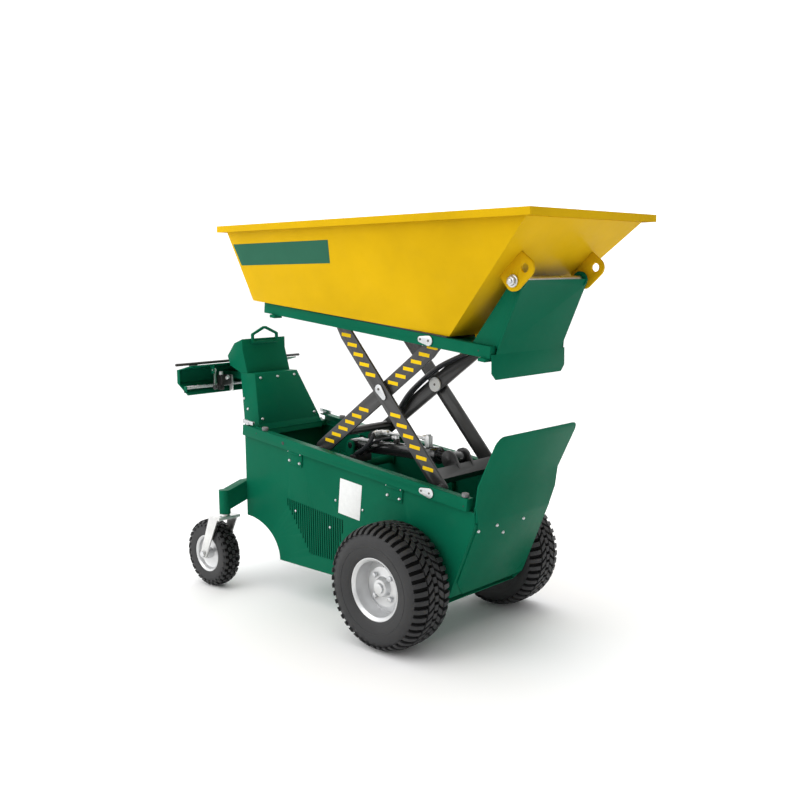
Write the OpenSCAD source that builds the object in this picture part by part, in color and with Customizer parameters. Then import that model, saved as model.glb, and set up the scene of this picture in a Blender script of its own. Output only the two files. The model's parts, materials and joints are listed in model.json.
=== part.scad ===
// Concrete buggy: a walk-behind carrier with a scissor-lifted, front-tipping skip.
// Lengths are millimetres. +X is the dump end, -Y the side seen in the picture, Z is up from the ground.

/* [Stance] */
// Nose-down pitch of the chassis rails and of the platform, degrees
pitch = 6.3; // [4:0.1:8]
// Shift that brings the middle of the whole machine to the origin
x_shift = 134; // [80:1:160]
// Lower fixed pin of the scissor, along and up
p0_x = 314; // [300:1:340]
// Height of the lower fixed pin
p0_z = 567; // [550:0.5:580]

/* [Scissor] */
// Angle of the arms above the rails, raised
lift_angle = 42.2; // [38:0.1:46]
// Arm length below the centre pivot
arm_low = 440; // [420:1:450]
// Arm length above the centre pivot
arm_high = 352; // [340:1:370]
// Width of an arm
arm_w = 62; // [54:1:66]
// Plate of an arm
arm_t = 10; // [8:1:12]
// Outer face of the outer arms
arm_out_y = 168; // [160:1:175]
// Outer face of the inner arms
arm_in_y = 153; // [146:1:158]
// Radius of the slim upper end of an arm
arm_end_r = 18; // [16:0.5:19]
// Length over which an arm slims down
arm_taper = 70; // [50:1:90]
// Radius of the scissor pins
pin_r = 12.5; // [10:0.5:14]
// Running clearance of a pin in its hole
run_gap = 0.05; // [0.02:0.01:0.1]
// Radius of the rollers
roller_r = 16; // [14:0.5:16]
// Width of a roller
roller_w = 20; // [14:1:24]
// Radius of a roller shaft
shaft_r = 9; // [7:0.5:10]
// Box of the cross bar between the outer arms
bar_box = 46; // [40:1:50]
// Place of the cross bar along the arm
bar_s = 45; // [40:1:56]
// Place of the cross bar above the arm middle
bar_n = 5; // [0:1:8]
// Ram pin on the cross bar, back from the lower pin
ram_pin_x = -73; // [-80:1:-68]
// Ram pin on the cross bar, above the lower pin
ram_pin_z = 73; // [68:1:80]
// Radius of the cross bar lugs
ram_lug_r = 34; // [30:1:36]
// Plate of the cross bar lugs
ram_lug_t = 12; // [8:1:16]
// Tube between the inner arms, place along the arm
tie_s = 125; // [110:1:150]
// Radius of that tube
tie_r = 16; // [12:1:18]

/* [Chassis] */
// Outer face of the rails
rail_y = 238; // [230:1:242]
// Height of a rail
rail_h = 44; // [40:1:50]
// Flange width of a rail
rail_w = 33; // [26:1:34]
// Sheet of the rails
rail_t = 5; // [4:0.5:6]
// Front end of the rails from the lower pin
rail_front = 182; // [170:1:200]
// Rear end of the rails from the lower pin
rail_back = -1056; // [-1080:1:-1040]
// Outer face of the side panels
panel_y = 222; // [215:1:226]
// Sheet of the panels and of the belly pan
sheet_t = 4; // [3:0.5:6]
// Rear edge of the panels
panel_rear = -742; // [-760:1:-720]
// Bottom edge of the panels, below the axle
panel_low = 78.5; // [70:0.5:90]
// Length of the rear arch
arch_x = 212; // [190:1:230]
// Height of the rear arch
arch_z = 158; // [140:1:175]
// Radius of the axle hole in the panels
axle_hole_r = 45; // [38:1:50]
// First slot column of the cooling field
slot_x0 = -486; // [-500:1:-470]
// Pitch of the slot columns
slot_pitch = 13; // [12:1:16]
// Number of slot columns
slot_count = 27; // [10:1:28]
// Width of a slot
slot_w = 6.5; // [5:0.5:8]
// Top of the cooling field at its rear end
slot_top = 424; // [400:1:440]
// Bottom of the cooling field
slot_low = 212; // [200:1:240]
// Rear end of the belly pan
pan_back = -520; // [-530:1:-500]
// Front end of the belly pan
pan_front = 352; // [330:1:370]
// Half width of the belly pan
pan_y = 218; // [210:1:218]
// Side of the square posts
post_w = 24; // [20:1:30]
// Rear post
post_back = -490; // [-510:1:-470]
// Front post
post_front = 40; // [20:1:80]
// Outer face of the posts
post_y = 216; // [210:1:218]
// Lift ram rear pin, back from the lower pin
ram_rear_x = -602; // [-620:1:-580]
// Lift ram rear pin, above the lower pin
ram_rear_z = 7; // [0:1:10]
// Radius of the rubber pads
pad_r = 13; // [12:1:16]
// Height of the rubber pads
pad_h = 14; // [10:1:18]
// Rear pads from the lower pin
pad_back = -928; // [-950:1:-900]
// Front pads from the lower pin
pad_front = 160; // [140:1:180]

/* [Front shield] */
// Half width of the shield
shield_y = 235; // [225:1:240]
// Upper edge, along
shield_top_x = 633; // [620:1:645]
// Upper edge, up
shield_top_z = 797; // [780:1:810]
// Upper bend, along
bend_a_x = 545; // [535:1:555]
// Upper bend, up
bend_a_z = 618; // [600:1:640]
// Lower bend, along
bend_b_x = 524; // [515:1:530]
// Lower bend, up
bend_b_z = 480; // [465:1:500]
// Lower edge, along
shield_low_x = 400; // [390:1:420]
// Lower edge, up
shield_low_z = 190; // [180:1:210]
// Corner radius of the upper edge
shield_r = 34; // [20:1:50]
// Cut of the lower corners
shield_cut = 60; // [30:1:90]

/* [Drive axle and front wheels] */
// Axle, along
axle_x = 212; // [200:1:225]
// Radius of a front tyre, 18 inch
tyre_r = 228.5; // [220:0.5:235]
// Half width of a front tyre
tyre_half = 95; // [90:1:102]
// Middle of a front wheel, across
wheel_y = 331; // [325:1:340]
// Seat radius of the rim, 8 inch
rim_seat_r = 106; // [100:1:110]
// Height of the rim flanges above the seat
rim_lip_r = 11; // [9:0.5:13]
// Half width of the rim
rim_half = 78; // [70:1:84]
// Radius of the wheel shaft
axle_r = 17.5; // [15:0.5:20]
// Bolt circle of the wheel nuts
nut_pcd_r = 54; // [48:1:60]
// Number of wheel nuts
nut_count = 4; // [4:1:6]
// Radius of the gearbox
gear_r = 60; // [50:1:70]
// Half width of the gearbox
gear_y = 82; // [70:1:100]
// Radius of the axle tubes
tube_r = 30; // [25:1:36]

/* [Rear casters] */
// Swivel axis, along
swivel_x = -765; // [-780:1:-750]
// Swivel axis, across
swivel_y = 323; // [310:1:335]
// Trail of a caster wheel behind its swivel
trail = 90; // [70:1:110]
// Radius of a caster tyre
caster_r = 145; // [135:1:150]
// Half width of a caster tyre
caster_half = 41; // [36:1:48]
// Radius of the caster rim
caster_rim_r = 76; // [60:1:85]
// Radius of the caster axle
caster_axle_r = 10; // [8:0.5:12]
// Fore and aft size of the caster beam
beam_x = 46; // [40:1:50]
// Height of the caster beam
beam_h = 82; // [70:1:90]
// Top of the caster beam in the middle
beam_top = 458; // [440:1:470]
// Drop of the beam to its ends
beam_drop = 30; // [20:1:40]
// Radius of the swivel housing
housing_r = 24; // [20:1:28]
// Bottom of the swivel housing
housing_low = 330; // [325:1:340]
// Top of the swivel housing
housing_top = 432; // [420:1:440]
// Radius of the swivel stem
stem_r = 14; // [12:0.5:16]
// Crown of the fork, upper face
crown_top = 322; // [315:1:326]
// Plate of the fork
fork_t = 6; // [5:0.5:8]

/* [Console] */
// Half width of the tower at its foot
tower_foot_y = 174; // [165:1:185]
// Half width of the tower at its top
tower_top_y = 120; // [110:1:130]
// Front of the tower at its foot
tower_foot_x = -698; // [-710:1:-690]
// Rear of the tower at its foot
tower_back_x = -801; // [-810:1:-790]
// Front of the tower at its top
tower_top_x = -795; // [-805:1:-785]
// Rear of the tower at its top
tower_top_back = -892; // [-900:1:-880]
// Foot of the tower
tower_foot_z = 697; // [690:1:705]
// Top of the tower
tower_top_z = 908; // [900:1:915]
// Half width of the hood
hood_y = 121; // [115:1:128]
// Half length of the hand guard
guard_y = 300; // [280:1:320]
// Sheet of the console
console_t = 4; // [3:0.5:5]
// Thickness of the loop handle bar
loop_t = 12; // [10:1:14]
// Radius of the dead-man bar
dead_r = 6; // [5:0.5:8]
// Rear edge of the hood
hood_back = -983; // [-990:1:-975]
// Length of the hood
hood_l = 140; // [130:1:150]
// Height of the hood
hood_h = 149; // [140:1:155]
// Rear edge of the hand guard
guard_back = -1118; // [-1125:1:-1110]
// Length of the hand guard, fore and aft
guard_l = 112; // [106:1:118]
// Lower edge of the hand guard
guard_low = 811; // [805:1:815]
// Height of the hand guard
guard_h = 134; // [130:1:140]
// Half width of the loop handle
loop_y = 74; // [68:1:80]
// Height of the loop handle
loop_h = 75; // [70:1:80]

/* [Platform and skip] */
// Outer face of the platform rails
plat_y = 216; // [205:1:225]
// Flange width of the platform rails
plat_w = 31; // [26:1:34]
// Height of a platform rail
plat_h = 41; // [38:1:44]
// Sheet of the platform rails
plat_t = 4; // [3:0.5:5]
// Front end of the platform from its fixed pin
plat_front = 271; // [265:1:280]
// Rear end of the platform from its fixed pin
plat_back = -908; // [-920:1:-880]
// Height of the feet under the platform
foot_h = 12; // [8:1:14]
// Tip pivot, up the front wall from the floor
tip_x = 335.1; // [325:0.1:345]
// Tip pivot, off the front wall
tip_z = 47.9; // [46:0.1:52]
// Radius of the tip shaft
tip_r = 13.5; // [12:0.5:15]
// Crane eye in the lugs, up the front wall from the tip pivot
eye_x = 60.9; // [55:0.1:65]
// Crane eye in the lugs, off the front wall
eye_z = 47.9; // [46:0.1:52]
// Radius of the crane eye
eye_r = 15; // [12:0.5:18]
// Outer face of the lugs
lug_y = 212; // [205:1:216]
// Plate of the lugs
lug_t = 10; // [8:1:12]
// Radius of the lugs
lug_r = 34; // [28:1:38]
// Half width of the wedge
wedge_y = 190; // [185:1:195]
// Face of the skirt ahead of the platform's front end
skirt_x = 4.6; // [4.5:0.1:8]
// Half width of the skirt
skirt_y = 212; // [205:1:216]
// Skirt upper edge
skirt_top = 1066; // [1055:1:1075]
// Skirt lower edge
skirt_low = 981; // [975:1:995]
// Top of the skip, above the rear of its floor
skip_top = 298.7; // [280:0.1:320]
// Height of the skip rim
rim_h = 25; // [20:1:30]
// Rear end of the skip rim
rim_back = -685; // [-700:1:-670]
// Front end of the skip rim
rim_front = 850; // [840:1:860]
// Half width of the skip rim
rim_y = 375; // [365:1:385]
// Rear wall of the skip, inside the rim's edge
wall_back = 23; // [18:1:28]
// Front wall of the skip, inside the rim's edge
wall_front = 38; // [30:1:44]
// Side walls of the skip, inside the rim's edge
wall_y = 33; // [28:1:38]
// Rear end of the skip floor
floor_back = -632; // [-640:1:-620]
// Front end of the skip floor
floor_front = 388; // [370:1:415]
// Half width of the skip floor at its rear
floor_y = 243; // [235:1:250]
// Sheet of the skip
skip_t = 4; // [3:0.5:6]
// Gap between the platform and the skip floor
floor_gap = 5; // [3:0.5:8]

/* [Tip ram] */
// Upper pin of the tip ram, ahead of the skip floor
tip_a_x = 18; // [14:1:22]
// Upper pin of the tip ram, below the skip floor
tip_a_z = 23.7; // [20:0.1:26]
// Angle between the two ram pins seen from the tip pivot, degrees
tip_span = 28; // [24:0.5:34]
// Radius of the tip ram barrel
tip_barrel_r = 27; // [22:1:30]

/* [Hidden] */
$fn = 40;
arm_len = arm_low + arm_high;
cos_l = cos(lift_angle);
sin_l = sin(lift_angle);
tan_p = tan(pitch);
low_roller_x = -2 * arm_low * cos_l;
up_roller_x = -arm_len * cos_l;
deck_z = arm_len * sin_l;
u2_x = -(arm_low - arm_high) * cos_l;
rail_in = rail_y - rail_w;
half_rail = rail_h / 2;
half_plat = plat_h / 2;
plat_in = plat_y - plat_w;
// Side clearance of what turns or slides, and the overrun of cuts and welds
side_gap = 1;
lap = 1;
low_roller_y = rail_y - rail_t - side_gap - roller_w;
up_roller_y = plat_y - plat_t - side_gap - roller_w;
panel_z = tyre_r - panel_low;
// Slope of the rails in the upright frame
function rail_z(x, n) = p0_z + n / cos(pitch) - (x - p0_x) * tan_p;
// Platform plane in the upright frame, n above the middle of its rails
function plat_z(x, n) = rail_z(x, deck_z + n);
// Skip side: half width as a function of height
floor_back_z = plat_z(floor_back, half_plat + floor_gap);
floor_front_z = plat_z(floor_front, half_plat + floor_gap);
skip_z = floor_back_z + skip_top;
wall_z = skip_z - rim_h;
nose_x = rim_front - wall_front;
tail_x = rim_back + wall_back;
hip_y = rim_y - wall_y;
flare = (hip_y - floor_y) / (wall_z - floor_back_z);
function side_y(z) = hip_y - flare * (wall_z - z);
// Front wall of the skip: its foot, its direction and the places along it
nose_foot = [floor_front, floor_front_z];
nose_run = [nose_x, wall_z] - nose_foot;
nose_dir = nose_run / norm(nose_run);
nose_out = [nose_dir[1], -nose_dir[0]];
tip_at = nose_foot + tip_x * nose_dir + tip_z * nose_out;
eye_at = nose_foot + (tip_x + eye_x) * nose_dir + eye_z * nose_out;
// Front face of the wedge's skirt, ahead of the platform's upper front edge
skirt_face = p0_x + (u2_x + plat_front) * cos(pitch) + (deck_z + half_plat) * sin(pitch) + skirt_x;
// Lower edge of the cooling slots
slot_knee_a = -339;
slot_knee_b = -190;
slot_edge_a_share = 1.335;
slot_edge_b_share = 2.84;
slot_fall_share = 0.111;
slot_min = 22;

module stand() {
    translate([x_shift, 0, 0]) children();
}
module deck() {
    stand() translate([p0_x, 0, p0_z]) rotate([0, pitch, 0]) children();
}
module platform() {
    deck() translate([u2_x, 0, deck_z]) children();
}
module both() {
    children();
    mirror([0, 1, 0]) children();
}
module right_hand() {
    mirror([0, 1, 0]) children();
}
module slab(y0, y1) {
    translate([0, y1, 0]) rotate([90, 0, 0]) linear_extrude(y1 - y0) children();
}
module rod(x, z, y0, y1, r) {
    translate([x, y1, z]) rotate([90, 0, 0]) cylinder(h = y1 - y0, r = r);
}
module box(x0, x1, y0, y1, z0, z1) {
    translate([x0, y0, z0]) cube([x1 - x0, y1 - y0, z1 - z0]);
}
module channel(x0, x1, y, w, h, t) {
    difference() {
        box(x0, x1, y - w, y, -h / 2, h / 2);
        box(x0 - t, x1 + t, y - w - t, y - t, t - h / 2, h / 2 - t);
    }
}
// Top of a dome head as a share of its foot
dome_share = 0.6;
module dome(r, h) {
    cylinder(h = h, r1 = r, r2 = r * dome_share);
}
// Four-sided hollow bodies: side view corners and the half width at each
module eight(q, ys) {
    pts = concat([for (i = [0:3]) [q[i][0], -ys[i], q[i][1]]], [for (i = [0:3]) [q[i][0], ys[i], q[i][1]]]);
    sides = [[0, 1, 5, 4], [1, 2, 6, 5], [2, 3, 7, 6], [3, 0, 4, 7]];
    polyhedron(points = pts, faces = concat([[3, 2, 1, 0], [4, 5, 6, 7]], sides));
}
// Small fittings
bolt_r = 7;
bolt_h = 5;
cross_w = 44;
ear_y = 32;
ear_t = 9;
ear_r = 22;
hang_t = 8;
hang_w = 40;
cross_low = 85;
cross_r = 18;
front_tube_x = 110;
front_tube_z = -110;
keeper_r = 18;
keeper_tail_r = 11;
keeper_l = 38;
keeper_head = 13;
keeper_t = 5;
bracket_w = 84;
bracket_h = 56;
bracket_t = 6;
bracket_y = panel_y + bracket_t;
bracket_bolt_x = 30.5;
bracket_bolt_z = 42;
bracket_back = -726;
bracket_front = -169;
panel_gap = 2;
tab_x0 = 468;
tab_z0 = 486;
tab_z1 = 514;
latch_x = -1040;
latch_r = 6;
latch_y = rail_y - rail_w / 2;

module chassis_frame() {
    color("darkgreen") difference() {
        union() {
            deck() both() channel(rail_back, rail_front, rail_y, rail_w, rail_h, rail_t);
            deck() both() box(rail_front - rail_t, rail_front, rail_in, rail_y, -half_rail, half_rail);
            deck() box(rail_back, rail_back + cross_w, -rail_in - lap, rail_in + lap, -half_rail, 0);
            deck() rod(front_tube_x, front_tube_z, -rail_in - lap, rail_in + lap, cross_r);
            deck() both() box(front_tube_x - hang_w / 2, front_tube_x + hang_w / 2, rail_in, rail_in + hang_t,
                front_tube_z - cross_r, lap - half_rail);
            deck() rod(ram_rear_x, -cross_low, -rail_in - lap, rail_in + lap, cross_r);
            deck() both() box(ram_rear_x - hang_w / 2, ram_rear_x + hang_w / 2, rail_in, rail_in + hang_t,
                -cross_low - cross_r, lap - half_rail);
            deck() both() box(ram_rear_x - ear_r, ram_rear_x + ear_r, ear_y, ear_y + ear_t,
                -cross_low, ram_rear_z);
            deck() both() rod(ram_rear_x, ram_rear_z, ear_y, ear_y + ear_t, ear_r);
            stand() both() for (x = [post_back, post_front])
                box(x, x + post_w, post_y - post_w, post_y,
                    panel_z + sheet_t, rail_z(x + post_w, lap - half_rail));
        }
        deck() both() rod(0, 0, rail_in - lap, rail_y + lap, pin_r);
        deck() both() rod(ram_rear_x, ram_rear_z, ear_y - lap, ear_y + ear_t + lap, pin_r + run_gap);
        deck() both() translate([latch_x, latch_y, 0]) cylinder(h = rail_h, r = latch_r + run_gap);
    }
}
module panel_sheet() {
    n = -half_rail - panel_gap;
    x1 = bend_b_x - sheet_t * 2;
    x2 = shield_low_x - sheet_t * 2;
    difference() {
        polygon([[panel_rear, rail_z(panel_rear, n)], [panel_rear, panel_z], [pan_front, panel_z],
            [x2, shield_low_z], [x1, bend_b_z], [x1, rail_z(x1, n)]]);
        translate([panel_rear, panel_z]) scale([arch_x, arch_z]) circle(r = 1, $fn = 64);
        translate([axle_x, tyre_r]) circle(r = axle_hole_r);
        for (i = [0:slot_count - 1]) {
            x = slot_x0 + i * slot_pitch;
            top = slot_top - slot_fall_share * (x - slot_x0);
            low_a = x < slot_knee_a ? slot_low + slot_edge_a_share * (slot_knee_a - x) : slot_low;
            low = x > slot_knee_b ? slot_low + slot_edge_b_share * (x - slot_knee_b) : low_a;
            if (top - low > slot_min) translate([x, low]) square([slot_w, top - low]);
        }
    }
}
module side_panel() {
    stand() slab(panel_y - sheet_t, panel_y) panel_sheet();
    deck() for (x = [bracket_back, bracket_front])
        box(x - bracket_w / 2, x + bracket_w / 2, panel_y - lap, bracket_y, -half_rail - bracket_h, -half_rail);
}
module side_panel_right() {
    color("seagreen") right_hand() side_panel();
}
module side_panel_left() {
    color("seagreen") side_panel();
}
// Dome bolts of the panel brackets, two on each
module panel_bolts() {
    color("silver") deck() both() for (x = [bracket_back, bracket_front]) for (s = [-1, 1])
        translate([x + s * bracket_bolt_x, bracket_y, -half_rail - bracket_bolt_z])
            rotate([-90, 0, 0]) dome(bolt_r, bolt_h);
}
pan_wall = 540;
module belly_pan() {
    color("darkslategray") stand() {
        box(pan_back, pan_front, -pan_y, pan_y, panel_z, panel_z + sheet_t);
        box(pan_back, pan_back + sheet_t, -pan_y, pan_y, panel_z, pan_wall);
    }
}
wall_low = 312;
module rear_wall() {
    color("darkgreen") stand()
        box(panel_rear, panel_rear + sheet_t, -pan_y, pan_y, wall_low, rail_z(panel_rear, 0));
}
shield_t = 5;
shield_waist = 545;
shield_neck = 465;
shield_neck_y = 205;
module front_shield() {
    path = [[shield_top_x, shield_top_z], [bend_a_x, bend_a_z], [bend_b_x, bend_b_z],
        [shield_low_x, shield_low_z]];
    back = [for (i = [3:-1:0]) [path[i][0] - shield_t, path[i][1]]];
    top_in = shield_top_z - shield_r;
    half_face = [[shield_neck_y - shield_cut, shield_low_z], [shield_neck_y, shield_low_z + shield_cut],
        [shield_neck_y, shield_neck], [shield_y, shield_waist], [shield_y, top_in]];
    color("green") stand() {
        intersection() {
            slab(-shield_y, shield_y) polygon(concat(path, back));
            rotate([90, 0, 90]) linear_extrude(shield_top_x + shield_t) union() {
                polygon(concat(half_face, [for (q = rev(half_face)) [-q[0], q[1]]]));
                translate([shield_r - shield_y, top_in]) square([2 * (shield_y - shield_r), shield_r]);
                for (s = [-1, 1]) translate([s * (shield_y - shield_r), top_in]) circle(r = shield_r);
            }
        }
        both() box(tab_x0, bend_b_x - lap, pan_y - hang_t, pan_y, tab_z0, tab_z1);
    }
}
// Bolts of the shield: share of its half width, share of the lower slope above its foot
shield_bolt_shares = [[-0.83, 0.9], [-0.39, 0.907], [0.29, 0.886], [-0.15, 0.77]];
module shield_bolts() {
    foot = [shield_low_x, shield_low_z];
    slope = [bend_b_x, bend_b_z] - foot;
    color("silver") stand() for (b = shield_bolt_shares)
        translate([foot[0] + b[1] * slope[0], b[0] * shield_y, foot[1] + b[1] * slope[1]])
            rotate([0, 90 + atan2(slope[0], slope[1]), 0]) dome(bolt_r, bolt_h);
}
module rail_pads() {
    color("dimgray") deck() both() for (x = [pad_back, pad_front])
        translate([x, rail_y - rail_w / 2, half_rail]) cylinder(h = pad_h, r = pad_r);
}
// Drop-shaped keeper plate of a pin, its head this far past the pin
module keeper(head) {
    hull() {
        translate([head, 0]) circle(r = keeper_r, $fn = 32);
        translate([head - keeper_l, 0]) circle(r = keeper_tail_r, $fn = 32);
    }
}
pin_in = 3;
spacer_r = 15.5;
thrust_gap = 0.1;
module lower_pins() {
    color("silver") deck() both() {
        rod(0, 0, arm_out_y - arm_t - pin_in, rail_y + lap, pin_r);
        rod(0, 0, arm_out_y + thrust_gap, rail_y - rail_t, spacer_r);
        slab(rail_y, rail_y + keeper_t) keeper(keeper_head);
    }
}
battery_x = [-462, -190];
battery_y = 150;
battery_top = 400;
battery_lid = 30;
battery_lip = 8;
module battery_box() {
    z0 = panel_z + sheet_t;
    color("dimgray") stand() {
        box(battery_x[0], battery_x[1], -battery_y, battery_y, z0, battery_top);
        box(battery_x[0] - battery_lip, battery_x[1] + battery_lip, -battery_y - battery_lip,
            battery_y + battery_lip, battery_top - battery_lid, battery_top);
    }
}
pack_x = [-150, 10];
pack_y = 130;
pack_top = 330;
pump_r = 50;
pump_z = 390;
module power_pack() {
    xm = (pack_x[0] + pack_x[1]) / 2;
    color("black") stand() {
        box(pack_x[0], pack_x[1], -pack_y, pack_y, panel_z + sheet_t, pack_top);
        box(xm - pump_r / 2, xm + pump_r / 2, -pack_y / 2, pack_y / 2, pack_top - lap, pump_z);
        rod(xm, pump_z, -pack_y, pack_y, pump_r);
    }
}
shaft_out = 20;
module drive_axle() {
    color("black") stand() {
        rod(axle_x, tyre_r, -gear_y, gear_y, gear_r);
        rod(axle_x, tyre_r, -pan_y, pan_y, tube_r);
        rod(axle_x, tyre_r, -wheel_y - shaft_out, wheel_y + shaft_out, axle_r);
        box(axle_x - gear_r, axle_x + gear_r, -gear_r, gear_r, panel_z + sheet_t, tyre_r);
    }
}
beam_mid_y = 222;
cap_t = 7;
module caster_beam() {
    low = beam_top - beam_h;
    ends = [[swivel_y, low - beam_drop], [swivel_y, beam_top - beam_drop], [beam_mid_y, beam_top]];
    face = concat([[beam_mid_y, low]], ends);
    housing_h = housing_top - housing_low;
    color("darkgreen") stand() difference() {
        union() {
            translate([swivel_x - beam_x / 2, 0, 0]) rotate([90, 0, 90]) linear_extrude(beam_x)
                polygon(concat(face, [for (q = rev(face)) [-q[0], q[1]]]));
            both() translate([swivel_x, swivel_y, housing_low]) cylinder(h = housing_h, r = housing_r);
        }
        both() translate([swivel_x, swivel_y, housing_low - lap])
            cylinder(h = housing_h - cap_t, r = stem_r + run_gap);
    }
}
// Console: leaning tower, hood, loop and hand guard
tower_z = [rail_z(tower_foot_x, 0), tower_top_z, tower_top_z, rail_z(tower_back_x, 0)];
tower_x = [tower_foot_x, tower_top_x, tower_top_back, tower_back_x];
tower_lean = (tower_foot_y - tower_top_y) / (tower_top_z - tower_foot_z);
function tower_y(z) = tower_top_y + tower_lean * (tower_top_z - z);
neck_low = 866;
neck_h = 33;
neck_y = 42;
tower_open = 12;
tower_wall = 4.8;
module console_tower() {
    out = [for (i = [0:3]) [tower_x[i], tower_z[i]]];
    into = [for (i = [0:3]) [tower_x[i] + (i < 2 ? tower_open : console_t), tower_z[i] - console_t]];
    color("darkgreen") stand() {
        difference() {
            eight(out, [for (p = out) tower_y(p[1])]);
            eight(into, [for (p = into) tower_y(p[1]) - tower_wall]);
        }
        box(guard_back + console_t, tower_top_back + neck_y, -neck_y, neck_y, neck_low, neck_low + neck_h);
    }
}
cover_t = 3;
cover_lean = (tower_top_x - tower_foot_x) / (tower_top_z - tower_z[0]);
function cover_x(z) = tower_foot_x + cover_lean * (z - tower_z[0]);
module tower_cover() {
    z0 = tower_z[0] + half_rail;
    x0 = cover_x(z0);
    q = [[x0 + cover_t, z0], [tower_top_x + cover_t, tower_top_z], [tower_top_x, tower_top_z], [x0, z0]];
    color("darkgreen") stand() eight(q, [for (p = q) tower_y(p[1])]);
}
// Bolts of the cover: share of the tower's half width there, share of its height
cover_bolt_shares = [[-0.77, 0.91], [0, 0.91], [0.77, 0.91], [-0.88, 0.11], [0.88, 0.11]];
module cover_bolts() {
    color("silver") stand() for (b = cover_bolt_shares) {
        z = tower_foot_z + b[1] * (tower_top_z - tower_foot_z);
        translate([cover_x(z) + cover_t, b[0] * tower_y(z), z]) rotate([0, 90 + atan(cover_lean), 0])
            dome(bolt_r, bolt_h);
    }
}
// Hood in side view, as shares of its length and height, and its inside a wall nearer the middle
hood_shares = [[1, 0], [0.786, 0.678], [0.786, 1], [0.364, 0.859], [0, 0.47], [0.129, 0.188], [0.65, 0]];
hood_side = [for (p = hood_shares) [hood_back + p[0] * hood_l, tower_top_z + p[1] * hood_h]];
hood_mid_shares = [0.53, 0.5];
hood_mid = [hood_back + hood_mid_shares[0] * hood_l, tower_top_z + hood_mid_shares[1] * hood_h];
hood_wall = 6;
hood_hole = [for (p = hood_side) p + hood_wall * (hood_mid - p) / norm(hood_mid - p)];
module console_hood() {
    color("darkgreen") stand() difference() {
        slab(-hood_y, hood_y) polygon(hood_side);
        slab(console_t - hood_y, hood_y - console_t) polygon(hood_hole);
    }
}
// Loop handle seen from the front: out to its shoulders and up to a narrow top
loop_low = 1034;
loop_side = 44;
loop_tip = 8;
loop_bar = 12;
loop_slope = 7;
function loop(y, z0, z1, tip, z2) = [[-y, z0], [y, z0], [y, z1], [tip, z2], [-tip, z2], [-y, z1]];
loop_top = loop_low + loop_h;
loop_out = loop(loop_y, loop_low, loop_low + loop_side, loop_tip, loop_top);
loop_in = loop(loop_y - loop_bar, loop_low + loop_bar, loop_low + loop_side - loop_slope, loop_tip / 2,
    loop_top - loop_bar);
module loop_handle() {
    color("darkgreen") stand() translate([hood_side[1][0], 0, 0]) rotate([90, 0, 90]) linear_extrude(loop_t)
        difference() {
            polygon(loop_out);
            polygon(loop_in);
        }
}
// Hand guard in side view, as shares of its length and height, and the inner face of its sheet
guard_shares = [[1, 1], [0, 0.806], [0, 0.373], [0.6875, 0]];
guard_inset_shares = [[0, -1], [1, -0.75], [1, 0.5], [0.5, 1]];
guard_end_shares = [1, 0.18];
function on_guard(p) = [guard_back + p[0] * guard_l, guard_low + p[1] * guard_h];
guard_face = [for (p = guard_shares) on_guard(p)];
guard_inner = [for (i = [3:-1:0]) guard_face[i] + console_t * guard_inset_shares[i]];
guard_strip = concat(guard_face, guard_inner);
guard_end = concat(guard_face, [on_guard(guard_end_shares)]);
ear_x = -1096;
ear_z = 937;
ear_low = 921;
bail_y = 226;
pivot_r = 5;
small_t = 8;
lever_x = -1014;
lever_z = 917;
lever_y = 176;
lever_ear = 39;
module hand_guard() {
    color("seagreen") stand() difference() {
        union() {
            slab(-guard_y, guard_y) polygon(guard_strip);
            both() slab(guard_y - console_t, guard_y) polygon(guard_end);
            both() slab(bail_y, bail_y + small_t) union() {
                translate([ear_x, ear_z]) circle(r = 2 * pivot_r);
                translate([ear_x - 2 * pivot_r, ear_low]) square([4 * pivot_r, ear_z - ear_low]);
            }
            both() slab(lever_y, lever_y + small_t) translate([lever_x - small_t, lever_z - 2 * small_t])
                square([2 * small_t, lever_ear]);
        }
        both() rod(ear_x, ear_z, bail_y - lap, bail_y + small_t + lap, pivot_r + run_gap);
        both() rod(lever_x, lever_z, lever_y - lap, lever_y + small_t + lap, pivot_r + run_gap);
    }
}
grip_x = -1059;
grip_z = 842;
grip_r = 10;
module hand_bar() {
    color("gray") stand() rod(grip_x, grip_z, console_t - guard_y, guard_y - console_t, grip_r);
}
bail_x = -1046;
bail_z = 949;
bail_half = 352;
module dead_man_bar() {
    color("black") stand() {
        rod(bail_x, bail_z, -bail_half, bail_half, dead_r);
        both() slab(bail_y + small_t + side_gap, bail_y + 2 * small_t + side_gap) hull() {
            translate([bail_x, bail_z]) circle(r = dead_r, $fn = 32);
            translate([ear_x, ear_z]) circle(r = 2 * pivot_r, $fn = 32);
        }
        both() rod(ear_x, ear_z, bail_y, bail_y + small_t + 2 * side_gap, pivot_r);
    }
}
lever_low = 839;
knob_r = 11;
module lever() {
    y0 = lever_y - side_gap - small_t;
    slab(y0, y0 + small_t) union() {
        translate([lever_x, lever_z]) circle(r = small_t);
        translate([lever_x - small_t / 2, lever_low]) square([small_t, lever_z - lever_low]);
    }
    rod(lever_x, lever_z, y0 + lap, lever_y + small_t, pivot_r);
    translate([lever_x, y0 + small_t / 2, lever_low]) sphere(r = knob_r, $fn = 24);
}
module lever_right() {
    color("silver") stand() right_hand() lever();
}
module lever_left() {
    color("silver") stand() lever();
}
blade_l = 34;
blade_w = 5;
blade_h = 16;
collar_h = 4;
module wing_latch() {
    translate([latch_x, latch_y, half_rail - rail_t]) cylinder(h = rail_t + collar_h, r = latch_r);
    translate([latch_x, latch_y, half_rail + side_gap]) cylinder(h = collar_h + blade_h / 2, r = 2 * latch_r);
    blade_z = half_rail + collar_h;
    box(latch_x - blade_l, latch_x + blade_l, latch_y - blade_w, latch_y + blade_w, blade_z, blade_z + blade_h);
}
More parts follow.
